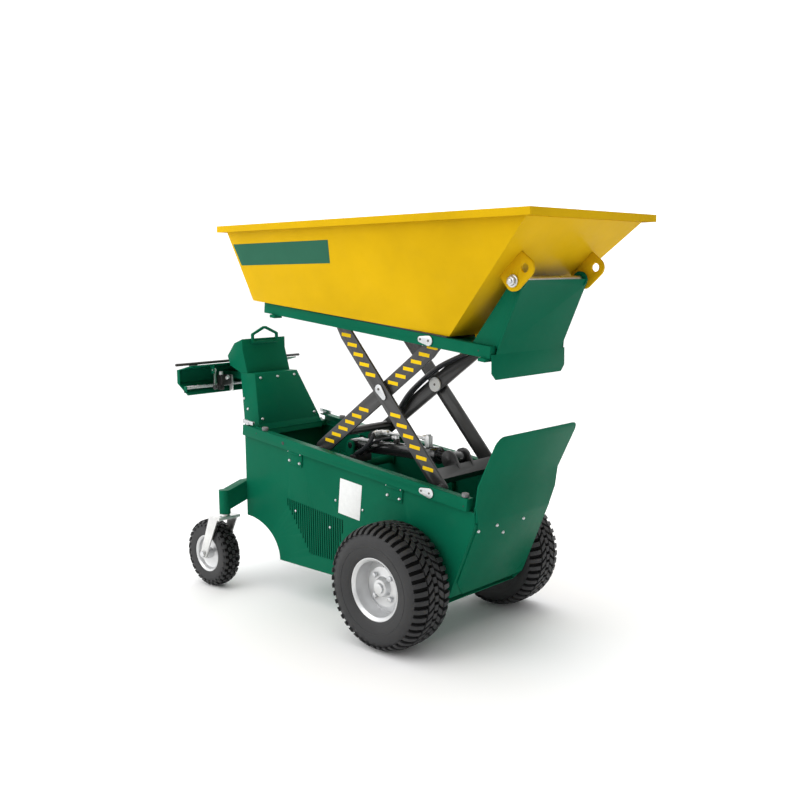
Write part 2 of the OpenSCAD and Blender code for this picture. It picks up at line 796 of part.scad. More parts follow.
module wing_latch_right() {
    color("silver") deck() right_hand() wing_latch();
}
module wing_latch_left() {
    color("silver") deck() wing_latch();
}
// Wheels: revolved profiles, radius first, outward side positive
function rev(l) = [for (i = [len(l) - 1:-1:0]) l[i]];
function flip(l) = [for (p = l) [p[0], -p[1]]];
// Rim: flange, flank and wall, then the tyre's beads beside the flange
lip_t = 5;
lip_bend = 8;
rim_flank = 12;
rim_wall = 5;
lip_r = rim_seat_r + rim_lip_r;
barrel_r = rim_seat_r - rim_wall;
bead_gap = 0.3;
bead_w = 14;
seat_half = rim_half - rim_flank;
// Tyre section: shares of its height above the seat and of its half width, outside and inside
tyre_shares = [[0.122, 0.863], [0.196, 0.926], [0.44, 1], [0.735, 0.99], [0.882, 0.916], [0.955, 0.79],
    [1, 0.57]];
tube_shares = [[0.114, 0.695], [0.278, 0.82], [0.482, 0.874], [0.727, 0.863], [0.816, 0.779], [0.857, 0.526]];
function on_tyre(l) = [for (p = l) [rim_seat_r + p[0] * (tyre_r - rim_seat_r), p[1] * tyre_half]];
bead_foot = [rim_seat_r + bead_gap, seat_half - bead_gap];
bead_top = [lip_r + bead_gap, rim_half - lip_t - bead_gap];
tyre_out = concat([bead_foot, bead_top], on_tyre(tyre_shares));
tyre_hole = concat([[rim_seat_r + bead_gap, seat_half - bead_w]], on_tyre(tube_shares));
module tyre() {
    rotate([-90, 0, 0]) rotate_extrude($fn = 72)
        polygon(concat(tyre_out, rev(flip(tyre_out)), flip(tyre_hole), rev(tyre_hole)));
}
module at_wheel() {
    translate([axle_x, wheel_y, tyre_r]) children();
}
module tyre_right() {
    color("black") stand() right_hand() at_wheel() tyre();
}
module tyre_left() {
    color("black") stand() at_wheel() tyre();
}
hub_r = 38;
hub_in = -40;
dish_z = 24;
dish_t = 6;
dish_fall = 22;
dish_share = 0.713;
dish_r = dish_share * barrel_r;
lip_in = lip_r - lip_t;
hub_top_r = 30;
cap_r = 20;
cap_top = 60;
hub_top = 50;
rim_bore = axle_r + run_gap;
rim_hub = [[rim_bore, hub_in], [hub_r, hub_in], [hub_r, dish_z], [dish_r, dish_z],
    [barrel_r, dish_z - dish_fall]];
rim_edge = [[barrel_r, rim_half - lip_bend], [lip_in, rim_half], [lip_r, rim_half], [lip_r, rim_half - lip_t],
    [rim_seat_r, seat_half]];
dish_face = dish_z + dish_t;
rim_dish = [[barrel_r, dish_face - dish_fall], [dish_r, dish_face], [hub_r, dish_face], [hub_top_r, hub_top],
    [cap_r, hub_top], [cap_r, cap_top], [0, cap_top], [0, dish_z], [rim_bore, dish_z]];
rim_profile = concat(rim_hub, flip(rim_edge), rev(rim_edge), rim_dish);
valve_r = 4;
valve_in = 13;
valve_at = barrel_r - valve_in;
valve_low = 12;
valve_l = 28;
module rim() {
    rotate([-90, 0, 0]) {
        rotate_extrude($fn = 60) polygon(rim_profile);
        translate([0, -valve_at, valve_low]) cylinder(h = valve_l, r = valve_r);
    }
}
module rim_right() {
    color("lightgray") stand() right_hand() at_wheel() rim();
}
module rim_left() {
    color("lightgray") stand() at_wheel() rim();
}
nut_r = 11;
nut_h = 12;
module nuts() {
    rotate([-90, 0, 0]) for (i = [0:nut_count - 1]) rotate([0, 0, 45 + i * 360 / nut_count])
        translate([nut_pcd_r, 0, dish_face]) cylinder(h = nut_h, r = nut_r, $fn = 6);
}
module wheel_nuts_right() {
    color("silver") stand() right_hand() at_wheel() nuts();
}
module wheel_nuts_left() {
    color("silver") stand() at_wheel() nuts();
}
// Casters
leg_gap = 8;
leg_in = caster_half + leg_gap;
crown_t = 12;
crown_front = 32;
crown_back = 38;
leg_eye_r = 19;
module fork() {
    xa = swivel_x - trail;
    leg_out = leg_in + fork_t;
    difference() {
        union() {
            for (y = [swivel_y - leg_out, swivel_y + leg_in]) slab(y, y + fork_t) hull() {
                translate([xa, caster_r]) circle(r = leg_eye_r, $fn = 32);
                translate([swivel_x - crown_back, crown_top - crown_t])
                    square([crown_back + crown_front / 2, crown_t]);
            }
            box(swivel_x - crown_back, swivel_x + crown_front, swivel_y - leg_out, swivel_y + leg_out,
                crown_top - crown_t, crown_top);
            translate([swivel_x, swivel_y, crown_top - lap])
                cylinder(h = housing_low - thrust_gap - crown_top + lap, r = housing_r - fork_t / 2);
            translate([swivel_x, swivel_y, crown_top])
                cylinder(h = housing_top - cap_t - 2 * lap - crown_top, r = stem_r);
        }
        rod(xa, caster_r, swivel_y - leg_in - 2 * fork_t, swivel_y + leg_in + 2 * fork_t, caster_axle_r);
    }
}
module fork_right() {
    color("silver") stand() right_hand() fork();
}
module fork_left() {
    color("silver") stand() fork();
}
module at_caster() {
    translate([swivel_x - trail, swivel_y, caster_r]) children();
}
// Caster tyre and rim: shares of the heights over the rim and of the half width
c_flange = 3;
c_seat_share = 0.78;
c_lip_shares = [0.829, 0.902];
c_seat_half = c_seat_share * caster_half;
c_lip_half = c_lip_shares * caster_half;
c_lip_r = caster_rim_r + c_flange;
c_tyre_shares = [[0.203, 0.927], [0.522, 1], [0.783, 0.951], [0.928, 0.756], [1, 0.39]];
c_tube_shares = [[0.232, 0.707], [0.522, 0.756], [0.754, 0.634], [0.826, 0.341]];
c_bead_share = 0.585;
function on_caster(l) = [for (p = l) [caster_rim_r + p[0] * (caster_r - caster_rim_r), p[1] * caster_half]];
c_bead = [[caster_rim_r + bead_gap, c_seat_half - bead_gap], [c_lip_r + bead_gap, c_lip_half[0] - bead_gap]];
c_tyre_out = concat(c_bead, on_caster(c_tyre_shares));
c_tyre_hole = concat([[caster_rim_r + bead_gap, c_bead_share * caster_half]], on_caster(c_tube_shares));
module caster_tyre() {
    rotate([-90, 0, 0]) rotate_extrude($fn = 60)
        polygon(concat(c_tyre_out, rev(flip(c_tyre_out)), flip(c_tyre_hole), rev(c_tyre_hole)));
}
module caster_tyre_right() {
    color("black") stand() right_hand() at_caster() caster_tyre();
}
module caster_tyre_left() {
    color("black") stand() at_caster() caster_tyre();
}
c_bore = caster_axle_r + run_gap;
c_hub_r = 22;
c_hub_over = 5;
c_hub_half = caster_half + c_hub_over;
c_web_shares = [[0.632, 0.244], [0.868, 0.39], [0.921, 0.732]];
c_web_share = 0.341;
c_web = [for (p = c_web_shares) [p[0] * caster_rim_r, p[1] * caster_half]];
c_hub = [[c_bore, c_hub_half], [c_hub_r, c_hub_half], [c_hub_r, c_web_share * caster_half]];
c_lip = [[c_lip_r, c_lip_half[1]], [c_lip_r, c_lip_half[0]], [caster_rim_r, c_seat_half]];
c_rim_half = concat(c_hub, c_web, c_lip);
module caster_rim() {
    rotate([-90, 0, 0]) rotate_extrude($fn = 48) polygon(concat(c_rim_half, rev(flip(c_rim_half))));
}
module caster_rim_right() {
    color("lightgray") stand() right_hand() at_caster() caster_rim();
}
module caster_rim_left() {
    color("lightgray") stand() at_caster() caster_rim();
}
head_r = 15;
head_h = 9;
module caster_bolt() {
    y = leg_in + fork_t;
    rod(0, 0, -y, y, caster_axle_r);
    for (s = [-1, 1]) translate([0, s * (y + head_h / 2), 0]) rotate([90, 0, 0])
        cylinder(h = head_h, r = head_r, center = true, $fn = 6);
}
module caster_bolt_right() {
    color("silver") stand() right_hand() at_caster() caster_bolt();
}
module caster_bolt_left() {
    color("silver") stand() at_caster() caster_bolt();
}
// Scissor: a side view frame with s along the arm from its lower end
module on_outer() {
    rotate(-lift_angle) mirror([1, 0]) children();
}
module on_inner() {
    translate([low_roller_x, 0]) rotate(lift_angle) children();
}
module arm(low_r, mid_r, top_r) {
    difference() {
        union() {
            circle(r = arm_w / 2);
            translate([0, -arm_w / 2]) square([arm_len - arm_taper, arm_w]);
            hull() {
                translate([arm_len - arm_taper, -arm_w / 2]) square([lap, arm_w]);
                translate([arm_len, 0]) circle(r = arm_end_r, $fn = 32);
            }
        }
        circle(r = low_r);
        translate([arm_low, 0]) circle(r = mid_r);
        translate([arm_len, 0]) circle(r = top_r);
    }
}
ram_lug_y = 40;
ram_pin_r = 10.5;
ram_pin_y = 48;
module outer_arms() {
    color("black") deck() {
        both() slab(arm_out_y - arm_t, arm_out_y) on_outer() arm(pin_r + run_gap, pin_r, shaft_r);
        slab(arm_t - arm_out_y - lap, arm_out_y - arm_t + lap) on_outer()
            translate([bar_s - bar_box / 2, bar_n - bar_box / 2]) square([bar_box, bar_box]);
        both() slab(ram_lug_y - ram_lug_t / 2, ram_lug_y + ram_lug_t / 2) hull() {
            translate([ram_pin_x, ram_pin_z]) circle(r = ram_lug_r, $fn = 32);
            on_outer() translate([bar_s, bar_n - bar_box / 2]) square([bar_box / 2 - lap, bar_box]);
        }
        rod(ram_pin_x, ram_pin_z, -ram_pin_y, ram_pin_y, ram_pin_r);
    }
}
module upper_rollers() {
    color("silver") deck() both() {
        rod(up_roller_x, deck_z, arm_out_y - arm_t, up_roller_y + lap, shaft_r);
        rod(up_roller_x, deck_z, up_roller_y, up_roller_y + roller_w, roller_r);
    }
}
module inner_arms() {
    color("black") deck() {
        both() slab(arm_in_y - arm_t, arm_in_y) on_inner() arm(shaft_r, pin_r + run_gap, pin_r + run_gap);
        slab(arm_t - arm_in_y - lap, arm_in_y - arm_t + lap) on_inner() translate([tie_s, 0]) circle(r = tie_r);
    }
}
module lower_rollers() {
    color("silver") deck() both() {
        rod(low_roller_x, 0, arm_in_y - arm_t, low_roller_y + lap, shaft_r);
        rod(low_roller_x, 0, low_roller_y, low_roller_y + roller_w, roller_r);
    }
}
disc_r = 29;
disc_t = 6;
collar_r = 22;
module centre_pins() {
    x = -arm_low * cos_l;
    z = arm_low * sin_l;
    disc_y = arm_in_y - arm_t - thrust_gap;
    color("silver") deck() both() {
        rod(x, z, disc_y - disc_t, disc_y, disc_r);
        rod(x, z, disc_y - lap, arm_out_y + lap, pin_r);
        rod(x, z, arm_in_y + thrust_gap, arm_out_y - arm_t, collar_r);
        slab(arm_out_y, arm_out_y + keeper_t) on_outer() translate([arm_low, 0]) keeper(keeper_head);
    }
}
// Round hose along a route: rings square to it, with a flat end each
hose_sides = 8;
function ahead(p, i) = p[min(i + 1, len(p) - 1)] - p[max(i - 1, 0)];
function across(t, up) = cross(t, up) / norm(cross(t, up));
function ring(c, t, u, r) = [for (k = [0:hose_sides - 1])
    c + r * (cos(k * 360 / hose_sides) * u + sin(k * 360 / hose_sides) * cross(t, u))];
module hose(p, r, up) {
    n = hose_sides;
    last = len(p) - 1;
    ways = [for (i = [0:last]) ahead(p, i) / norm(ahead(p, i))];
    rings = [for (i = [0:last]) each ring(p[i], ways[i], across(ways[i], up), r)];
    skin = [for (i = [0:last - 1]) for (k = [0:n - 1]) let (a = i * n + k, b = i * n + (k + 1) % n)
        each [[a, a + n, b + n], [a, b + n, b]]];
    foot = [for (k = [0:n - 1]) k];
    head = [for (k = [n - 1:-1:0]) last * n + k];
    polyhedron(points = rings, faces = concat([foot], skin, [head]));
}
// Two hoses to the tip ram, clamped to the far inner arm and bowed over its centre disc
hose_r = 8;
clamp_s = 150;
clamp_top_s = 690;
clamp_l = 26;
clamp_w = 40;
clamp_h = 28;
arm_hose_ys = [113, 131];
arm_hose_route = [[160, 0], [186, 1], [215, 6], [250, 17], [290, 29], [330, 37], [380, 40], [440, 41],
    [500, 39], [550, 32], [600, 20], [640, 9], [670, 2], [700, 0]];
module arm_hoses() {
    y = arm_in_y - arm_t;
    color("black") deck() translate([low_roller_x, 0, 0]) rotate([0, -lift_angle, 0]) {
        for (s = [clamp_s, clamp_top_s]) box(s, s + clamp_l, y - clamp_w, y, -clamp_h / 2, clamp_h / 2);
        for (w = arm_hose_ys) hose([for (p = arm_hose_route) [p[0], w, p[1]]], hose_r, [0, 1, 0]);
    }
}
// Lift ram: barrel on the chassis, rod to the cross bar
lift_dx = ram_pin_x - ram_rear_x;
lift_dz = ram_pin_z - ram_rear_z;
lift_len = norm([lift_dx, lift_dz]);
lift_tilt = atan2(lift_dz, lift_dx);
lift_r = 28;
lift_bore = 15;
lift_start = 30;
lift_end = 450;
gland_r = 33;
gland_l = 34;
lift_eye_r = 25;
lift_eye_hole = 18;
lift_eye_y = 25;
module on_lift() {
    deck() translate([ram_rear_x, 0, ram_rear_z]) rotate([0, 90 - lift_tilt, 0]) children();
}
module lift_barrel() {
    color("black") on_lift() difference() {
        union() {
            translate([0, 0, lift_start]) cylinder(h = lift_end - lift_start, r = lift_r);
            translate([0, 0, lift_end - gland_l]) cylinder(h = gland_l, r = gland_r);
            rod(0, 0, lap - ear_y, ear_y - lap, lift_eye_r);
            translate([-lift_bore, -lift_bore, 0]) cube([2 * lift_bore, 2 * lift_bore, lift_start + lap]);
            rod(0, 0, -ear_y - ear_t, ear_y + ear_t, pin_r);
        }
        translate([0, 0, lift_start + lift_bore]) cylinder(h = lift_end, r = lift_bore + thrust_gap);
    }
}
// Hard pipe, fittings and hoses of the lift ram, in the ram's own frame: x down, z forward from the rear pin
pipe_r = 6;
pipe_rise = 62;
pipe_back = 150;
port_z = 396;
port_w = 24;
elbow_w = 28;
elbow_z = 144;
nozzle_r = 11;
nozzle_l = 18;
tee_z = 226;
tee_w = 20;
tee_rise = 47;
saddle_z = 34;
saddle_l = 36;
saddle_x = 30;
saddle_h = 30;
saddle_out = 78;
saddle_in = 14;
lift_hose_r = 9;
lift_hose_route = [[-62, -24, 144], [-62, -38, 144], [-55, -50, 146], [-40, -59, 143], [-22, -64, 132],
    [-4, -66, 112], [10, -66, 90], [20, -66, 70], [26, -66, 58], [36, -66, 52]];
return_r = 6;
return_route = [[-47, 0, 222], [-47, 0, 206], [-46, -4, 190], [-42, -14, 172], [-35, -26, 152], [-25, -36, 132],
    [-10, -43, 112], [6, -46, 94], [20, -46, 76], [36, -46, 60]];
module lift_hoses() {
    color("dimgray") on_lift() difference() {
        union() {
            translate([-pipe_rise, 0, pipe_back]) cylinder(h = port_z - pipe_back, r = pipe_r);
            box(-pipe_rise - port_w / 2, 0, -port_w / 2, port_w / 2, port_z - port_w / 2, port_z + port_w / 2);
            box(-pipe_rise - elbow_w / 2, elbow_w / 2 - pipe_rise, -elbow_w / 2, elbow_w / 2,
                elbow_z - elbow_w / 2, elbow_z + elbow_w / 2);
            rod(-pipe_rise, elbow_z, -elbow_w / 2 - nozzle_l, lap - elbow_w / 2, nozzle_r);
            box(-tee_rise - tee_w / 2, 0, -tee_w / 2, tee_w / 2, tee_z - tee_w / 2, tee_z + tee_w / 2);
            box(saddle_x, saddle_x + saddle_h, -saddle_out, saddle_in, saddle_z, saddle_z + saddle_l);
            box(0, saddle_x + lap, -saddle_in, saddle_in, saddle_z, saddle_z + saddle_l);
            hose(lift_hose_route, lift_hose_r, [1, 0, 1]);
            hose(return_route, return_r, [1, 0, 1]);
        }
        cylinder(h = lift_end, r = lift_r + thrust_gap);
    }
}
module lift_rod() {
    z0 = lift_start + lift_bore + lift_end / 4;
    color("silver") on_lift() difference() {
        union() {
            translate([0, 0, z0]) cylinder(h = lift_len - z0 - lift_eye_hole, r = lift_bore);
            rod(0, lift_len, -lift_eye_y, lift_eye_y, lift_eye_r);
        }
        rod(0, lift_len, -ear_y * 2, ear_y * 2, lift_eye_hole);
    }
}
// Platform, wedge and tip pivot
cross_a = 32;
cross_t = 26;
cross_in = 32;
cross_b = plat_front - cross_in;
cross_top = 10;
foot_w = 30;
foot_in = 5;
foot_out = 14;
foot_back = -840;
foot_front = 23;
module platform_frame() {
    color("green") platform() difference() {
        union() {
            both() channel(plat_back, plat_front, plat_y, plat_w, plat_h, plat_t);
            both() box(plat_front - plat_t, plat_front, plat_in, plat_y, -half_plat, half_plat);
            box(plat_back, plat_back + cross_w, -plat_in - lap, plat_in + lap, -half_plat, half_plat);
            for (x = [cross_a, cross_b])
                box(x, x + cross_t, -plat_in - lap, plat_in + lap, -half_plat, cross_top);
            both() for (x = [foot_back, plat_front - foot_front])
                box(x - foot_w / 2, x + foot_w / 2, plat_in + foot_in, plat_y + foot_out,
                    -half_plat - foot_h, -half_plat);
        }
        both() rod(0, 0, plat_in - lap, plat_y + lap, pin_r);
    }
}
module upper_pins() {
    color("silver") platform() both() {
        rod(0, 0, arm_in_y - arm_t - pin_in, plat_y + lap, pin_r);
        rod(0, 0, arm_in_y + thrust_gap, plat_y - plat_t, spacer_r);
        slab(plat_y, plat_y + keeper_t) keeper(0);
    }
}
base_in = 2;
base_y = 184;
base_cut = 62;
base_cut_y = 62;
base_lip = 6;
boss_r = 28;
cheek_l = 112;
slope_over = 26;
slope_rise = 2;
slope_top_x = tip_at[0] + slope_over;
slope_top_z = tip_at[1] + slope_rise;
skirt_cut = 22;
wedge_t = 8;
cheek_y = 182;
tip_a = nose_foot + [tip_a_x, -tip_a_z];
tip_arm = tip_a - tip_at;
tip_reach = norm(tip_arm);
tip_turn = atan2(tip_arm[1], tip_arm[0]) + tip_span;
tip_b = tip_at + tip_reach * [cos(tip_turn), sin(tip_turn)];
tip_ear_r = 18;
tip_pin_r = 9;
module wedge() {
    cheek_x = skirt_face - cheek_l;
    foot_a = plat_z(cheek_x, cross_top + plat_t / 2);
    foot_b = plat_z(skirt_face, cross_top + plat_t / 2);
    front = skirt_face - plat_t / 2;
    color("green") difference() {
        union() {
            platform() difference() {
                box(cross_a + base_in, plat_front - base_lip, -base_y, base_y, cross_top, cross_top + plat_t);
                box(base_cut, cross_b - base_lip, -base_cut_y, base_cut_y,
                    cross_top - lap, cross_top + 2 * plat_t);
            }
            stand() both() slab(cheek_y - wedge_t, cheek_y) union() {
                polygon([[cheek_x, foot_a], [front, foot_b], [front, skirt_top],
                    [slope_top_x - plat_t / 2, slope_top_z], [tip_at[0] - boss_r, tip_at[1]]]);
                translate(tip_at) circle(r = boss_r);
            }
            stand() slab(-wedge_y, wedge_y) polygon([[skirt_face, skirt_top], [slope_top_x, slope_top_z],
                [slope_top_x - plat_t, slope_top_z], [skirt_face - plat_t, skirt_top]]);
            stand() translate([skirt_face - plat_t, 0, 0]) rotate([90, 0, 90]) linear_extrude(plat_t)
                polygon([[skirt_cut - skirt_y, skirt_low], [skirt_y - skirt_cut, skirt_low],
                    [skirt_y, skirt_low + skirt_cut], [skirt_y, skirt_top], [-skirt_y, skirt_top],
                    [-skirt_y, skirt_low + skirt_cut]]);
            stand() both() slab(ear_y, ear_y + ear_t) union() {
                translate(tip_b) circle(r = tip_ear_r);
                polygon([[tip_b[0] - tip_ear_r, tip_b[1]], [front - lap, tip_b[1]], [front - lap, skirt_top]]);
            }
        }
        stand() both() rod(tip_at[0], tip_at[1], cheek_y - 2 * wedge_t, cheek_y + wedge_t, tip_r);
        stand() both() rod(tip_b[0], tip_b[1], ear_y - lap, ear_y + ear_t + lap, tip_pin_r + run_gap);
    }
}
tip_cap_r = 21;
tip_cap_t = 6;
module tip_shaft() {
    color("silver") stand() {
        rod(tip_at[0], tip_at[1], -lug_y - lap, lug_y + lap, tip_r);
        both() rod(tip_at[0], tip_at[1], lug_y + thrust_gap, lug_y + tip_cap_t, tip_cap_r);
    }
}
// Skip
skip_side = [nose_foot, [nose_x, wall_z], [tail_x, wall_z], [floor_back, floor_back_z]];
// The sloping walls measure more across than their sheet
skip_nose_t = 5.6;
skip_side_t = 4.4;
skip_in = [nose_foot + [-skip_t / 2, skip_t], [nose_x - skip_nose_t, wall_z + lap],
    [tail_x + skip_t, wall_z + lap], [floor_back + skip_t, floor_back_z + skip_t]];
tip_plate = 22;
module skip_rim() {
    difference() {
        box(rim_back, rim_front, -rim_y, rim_y, wall_z, skip_z);
        difference() {
            box(rim_back + skip_t, rim_front - skip_t, skip_t - rim_y, rim_y - skip_t,
                wall_z - lap, skip_z - skip_t);
            box(tail_x, nose_x, -hip_y, hip_y, wall_z - 2 * lap, skip_z);
        }
    }
}
module skip_tub() {
    color("gold") stand() difference() {
        union() {
            difference() {
                union() {
                    eight(skip_side, [for (p = skip_side) side_y(p[1])]);
                    skip_rim();
                }
                eight(skip_in, [for (p = skip_in) side_y(p[1]) - skip_side_t]);
                box(tail_x + skip_t, nose_x - skip_nose_t, skip_side_t - hip_y, hip_y - skip_side_t,
                    wall_z, skip_z + lap);
            }
            both() slab(ear_y, ear_y + ear_t) hull() {
                translate(tip_a) circle(r = tip_ear_r, $fn = 32);
                translate([floor_front - tip_plate, floor_front_z + skip_t / 2])
                    square([tip_plate, skip_t / 4]);
            }
        }
        both() rod(tip_a[0], tip_a[1], ear_y - lap, ear_y + ear_t + lap, tip_pin_r + run_gap);
    }
}
lug_back = 34;
module lug() {
    slab(lug_y - lug_t, lug_y) difference() {
        hull() {
            translate(tip_at) circle(r = lug_r, $fn = 32);
            translate(eye_at) circle(r = lug_r, $fn = 32);
            translate(tip_at + [-2 * lug_back, lug_back]) circle(r = lap, $fn = 32);
            translate(eye_at + [-lug_back, 2 * lug_back]) circle(r = lap, $fn = 32);
        }
        polygon(skip_side);
        translate(tip_at) circle(r = tip_r + run_gap);
        translate(eye_at) circle(r = eye_r);
    }
}
module skip_lug_right() {
    color("gold") stand() right_hand() lug();
}
module skip_lug_left() {
    color("gold") stand() lug();
}
// Tip ram: three sliding stages on the line between its two pins
tip_len = norm(tip_a - tip_b);
tip_tilt = atan2(tip_a[1] - tip_b[1], tip_a[0] - tip_b[0]);
tip_foot = 16;
tip_tube = 124;
tip_wall = 5;
tip_gap = 0.2;
tip_step = 4;
module on_tip() {
    stand() translate([tip_b[0], 0, tip_b[1]]) rotate([0, 90 - tip_tilt, 0]) children();
}
module stage(n) {
    r = tip_barrel_r - n * (tip_wall + tip_gap);
    z0 = tip_foot + n * tip_step;
    difference() {
        translate([0, 0, z0]) cylinder(h = tip_tube - tip_step, r = r);
        translate([0, 0, z0 + tip_step - lap]) cylinder(h = tip_tube, r = r - tip_wall);
    }
}
module tip_barrel() {
    color("black") on_tip() {
        stage(0);
        rod(0, 0, lap - ear_y, ear_y - lap, tip_ear_r - lap);
        rod(0, 0, -ear_y - ear_t, ear_y + ear_t, tip_pin_r);
    }
}
module tip_stage_a() {
    color("silver") on_tip() stage(1);
}
module tip_stage_b() {
    color("silver") on_tip() stage(2);
}
module tip_rod() {
    r = tip_barrel_r - 3 * (tip_wall + tip_gap);
    z0 = tip_foot + 3 * tip_step;
    color("silver") on_tip() {
        translate([0, 0, z0]) cylinder(h = tip_len - z0, r = r);
        rod(0, tip_len, lap - ear_y, ear_y - lap, tip_ear_r - 2 * lap);
        rod(0, tip_len, -ear_y - ear_t, ear_y + ear_t, tip_pin_r);
    }
}

chassis_frame();
side_panel_right();
side_panel_left();
panel_bolts();
belly_pan();
rear_wall();
front_shield();
shield_bolts();
rail_pads();
lower_pins();
battery_box();
power_pack();
drive_axle();
caster_beam();
console_tower();
tower_cover();
cover_bolts();
console_hood();
loop_handle();
hand_guard();
hand_bar();
dead_man_bar();
lever_right();
lever_left();
wing_latch_right();
wing_latch_left();
tyre_right();
tyre_left();
rim_right();
rim_left();
wheel_nuts_right();
wheel_nuts_left();
fork_right();
fork_left();
caster_tyre_right();
caster_tyre_left();
caster_rim_right();
caster_rim_left();
caster_bolt_right();
caster_bolt_left();
outer_arms();
upper_rollers();
inner_arms();
lower_rollers();
centre_pins();
arm_hoses();
lift_barrel();
lift_hoses();
lift_rod();
platform_frame();
wedge();
upper_pins();
tip_shaft();
skip_tub();
skip_lug_right();
skip_lug_left();
tip_barrel();
tip_stage_a();
tip_stage_b();
tip_rod();
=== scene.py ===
# Looks of a walk-behind concrete buggy, in metres: +X is the dump end, +Z is up, the ground is at zero.
import json
import math

import bpy
from mathutils import Matrix, Vector
from mathutils.bvhtree import BVHTree

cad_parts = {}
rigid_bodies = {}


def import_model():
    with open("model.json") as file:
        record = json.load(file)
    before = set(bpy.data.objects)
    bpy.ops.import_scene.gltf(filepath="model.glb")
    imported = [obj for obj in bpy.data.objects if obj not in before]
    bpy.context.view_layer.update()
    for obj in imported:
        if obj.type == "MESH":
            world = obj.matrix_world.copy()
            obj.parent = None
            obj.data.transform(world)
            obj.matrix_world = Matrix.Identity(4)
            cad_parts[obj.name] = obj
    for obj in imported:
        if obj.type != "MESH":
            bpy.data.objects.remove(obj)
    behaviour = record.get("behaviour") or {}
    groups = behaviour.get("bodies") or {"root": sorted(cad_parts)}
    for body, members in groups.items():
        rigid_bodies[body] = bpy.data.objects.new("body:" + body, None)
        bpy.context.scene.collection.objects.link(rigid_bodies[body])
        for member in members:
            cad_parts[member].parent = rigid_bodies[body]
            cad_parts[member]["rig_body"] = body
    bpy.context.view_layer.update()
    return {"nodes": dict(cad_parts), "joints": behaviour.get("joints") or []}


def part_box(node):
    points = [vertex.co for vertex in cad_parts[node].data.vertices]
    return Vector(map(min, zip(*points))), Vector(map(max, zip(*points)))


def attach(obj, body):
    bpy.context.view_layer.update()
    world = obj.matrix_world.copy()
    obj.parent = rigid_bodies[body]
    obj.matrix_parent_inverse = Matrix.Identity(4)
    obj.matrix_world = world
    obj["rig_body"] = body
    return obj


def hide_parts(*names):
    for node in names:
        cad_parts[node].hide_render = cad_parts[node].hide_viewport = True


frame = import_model()
nodes = frame["nodes"]
joints = {j["name"]: j for j in frame["joints"]}
pivots = {name: Vector(j["pos_m"]) for name, j in joints.items() if j.get("pos_m")}

# Studio: a pale floor under a white sky, dimmer ahead of the nose, and three large soft panels of light.
# The camera stands where the picture was taken, turned 43 degrees from the machine's side.
floor_size = 120.0
floor_white = (0.97, 0.97, 0.97, 1)
bpy.ops.object.select_all(action="DESELECT")
bpy.ops.mesh.primitive_plane_add(size=floor_size)
floor = bpy.context.object
floor.name = "studio_floor"
floor_paper = bpy.data.materials.new("floor_paper")
floor_paper.use_nodes = True
floor_shader = floor_paper.node_tree.nodes["Principled BSDF"]
floor_shader.inputs["Base Color"].default_value = floor_white
floor_shader.inputs["Roughness"].default_value = 0.9
floor_shader.inputs["Specular IOR Level"].default_value = 0.1
floor.data.materials.append(floor_paper)

sky = bpy.data.worlds.new("studio_sky")
sky.use_nodes = True
sky_nodes = sky.node_tree.nodes
sky_link = sky.node_tree.links.new
sky_nodes["Background"].inputs["Color"].default_value = (1, 1, 1, 1)
sky_way = sky_nodes.new("ShaderNodeSeparateXYZ")
sky_link(sky_nodes.new("ShaderNodeTexCoord").outputs["Generated"], sky_way.inputs["Vector"])
sky_fade = sky_nodes.new("ShaderNodeMapRange")
for socket, value in (("From Min", -0.1), ("From Max", 0.6), ("To Min", 1.5), ("To Max", 0.42)):
    sky_fade.inputs[socket].default_value = value
sky_link(sky_way.outputs["X"], sky_fade.inputs["Value"])
sky_seen = sky_nodes.new("ShaderNodeMath")
sky_seen.operation = "MAXIMUM"
sky_link(sky_fade.outputs["Result"], sky_seen.inputs[0])
sky_link(sky_nodes.new("ShaderNodeLightPath").outputs["Is Camera Ray"], sky_seen.inputs[1])
sky_link(sky_seen.outputs["Value"], sky_nodes["Background"].inputs["Strength"])
bpy.context.scene.world = sky

light_target = Vector((0.05, 0, 0.8))
soft_panels = [("key_panel", (-1.6, -4.2, 3.6), 3.4, 55), ("top_panel", (0.3, 0.6, 5.2), 4.2, 60),
               ("back_panel", (-2.8, 3.6, 3.0), 3.0, 25)]
for name, place, size, power in soft_panels:
    bpy.ops.object.light_add(type="AREA", location=place)
    panel = bpy.context.object
    panel.name = name
    panel.data.size = size
    panel.data.energy = power
    panel.rotation_euler = (light_target - Vector(place)).to_track_quat("-Z", "Y").to_euler()

camera_place = (2.708, -2.769, 1.342)
camera_lens, camera_film = 43.98, 36
bearing, rise, roll = (math.radians(a) for a in (43.328, 7.461, -0.589))
lens_back = Vector((math.sin(bearing) * math.cos(rise), -math.cos(bearing) * math.cos(rise),
                    math.sin(rise)))
lens_right = Vector((math.cos(bearing), math.sin(bearing), 0))
lens_up = lens_back.cross(lens_right)
rolled_right = lens_right * math.cos(roll) + lens_up * math.sin(roll)
rolled_up = lens_up * math.cos(roll) - lens_right * math.sin(roll)
bpy.ops.object.camera_add()
camera = bpy.context.object
camera.data.sensor_width = camera_film
camera.data.lens = camera_lens
camera_turn = Matrix((rolled_right, rolled_up, lens_back)).transposed().to_4x4()
camera.matrix_world = Matrix.Translation(camera_place) @ camera_turn
bpy.context.scene.camera = camera
bpy.context.scene.view_settings.view_transform = "Standard"


# Chassis frame: two pitched channel rails with welded cross tubes, posts and ram ears.
# Steel sheet and tube, bent and welded, then powder coated in a deep green gloss.
def only(thing):
    """Selects one object and makes it the active one."""
    bpy.ops.object.select_all(action="DESELECT")
    thing.select_set(True)
    bpy.context.view_layer.objects.active = thing


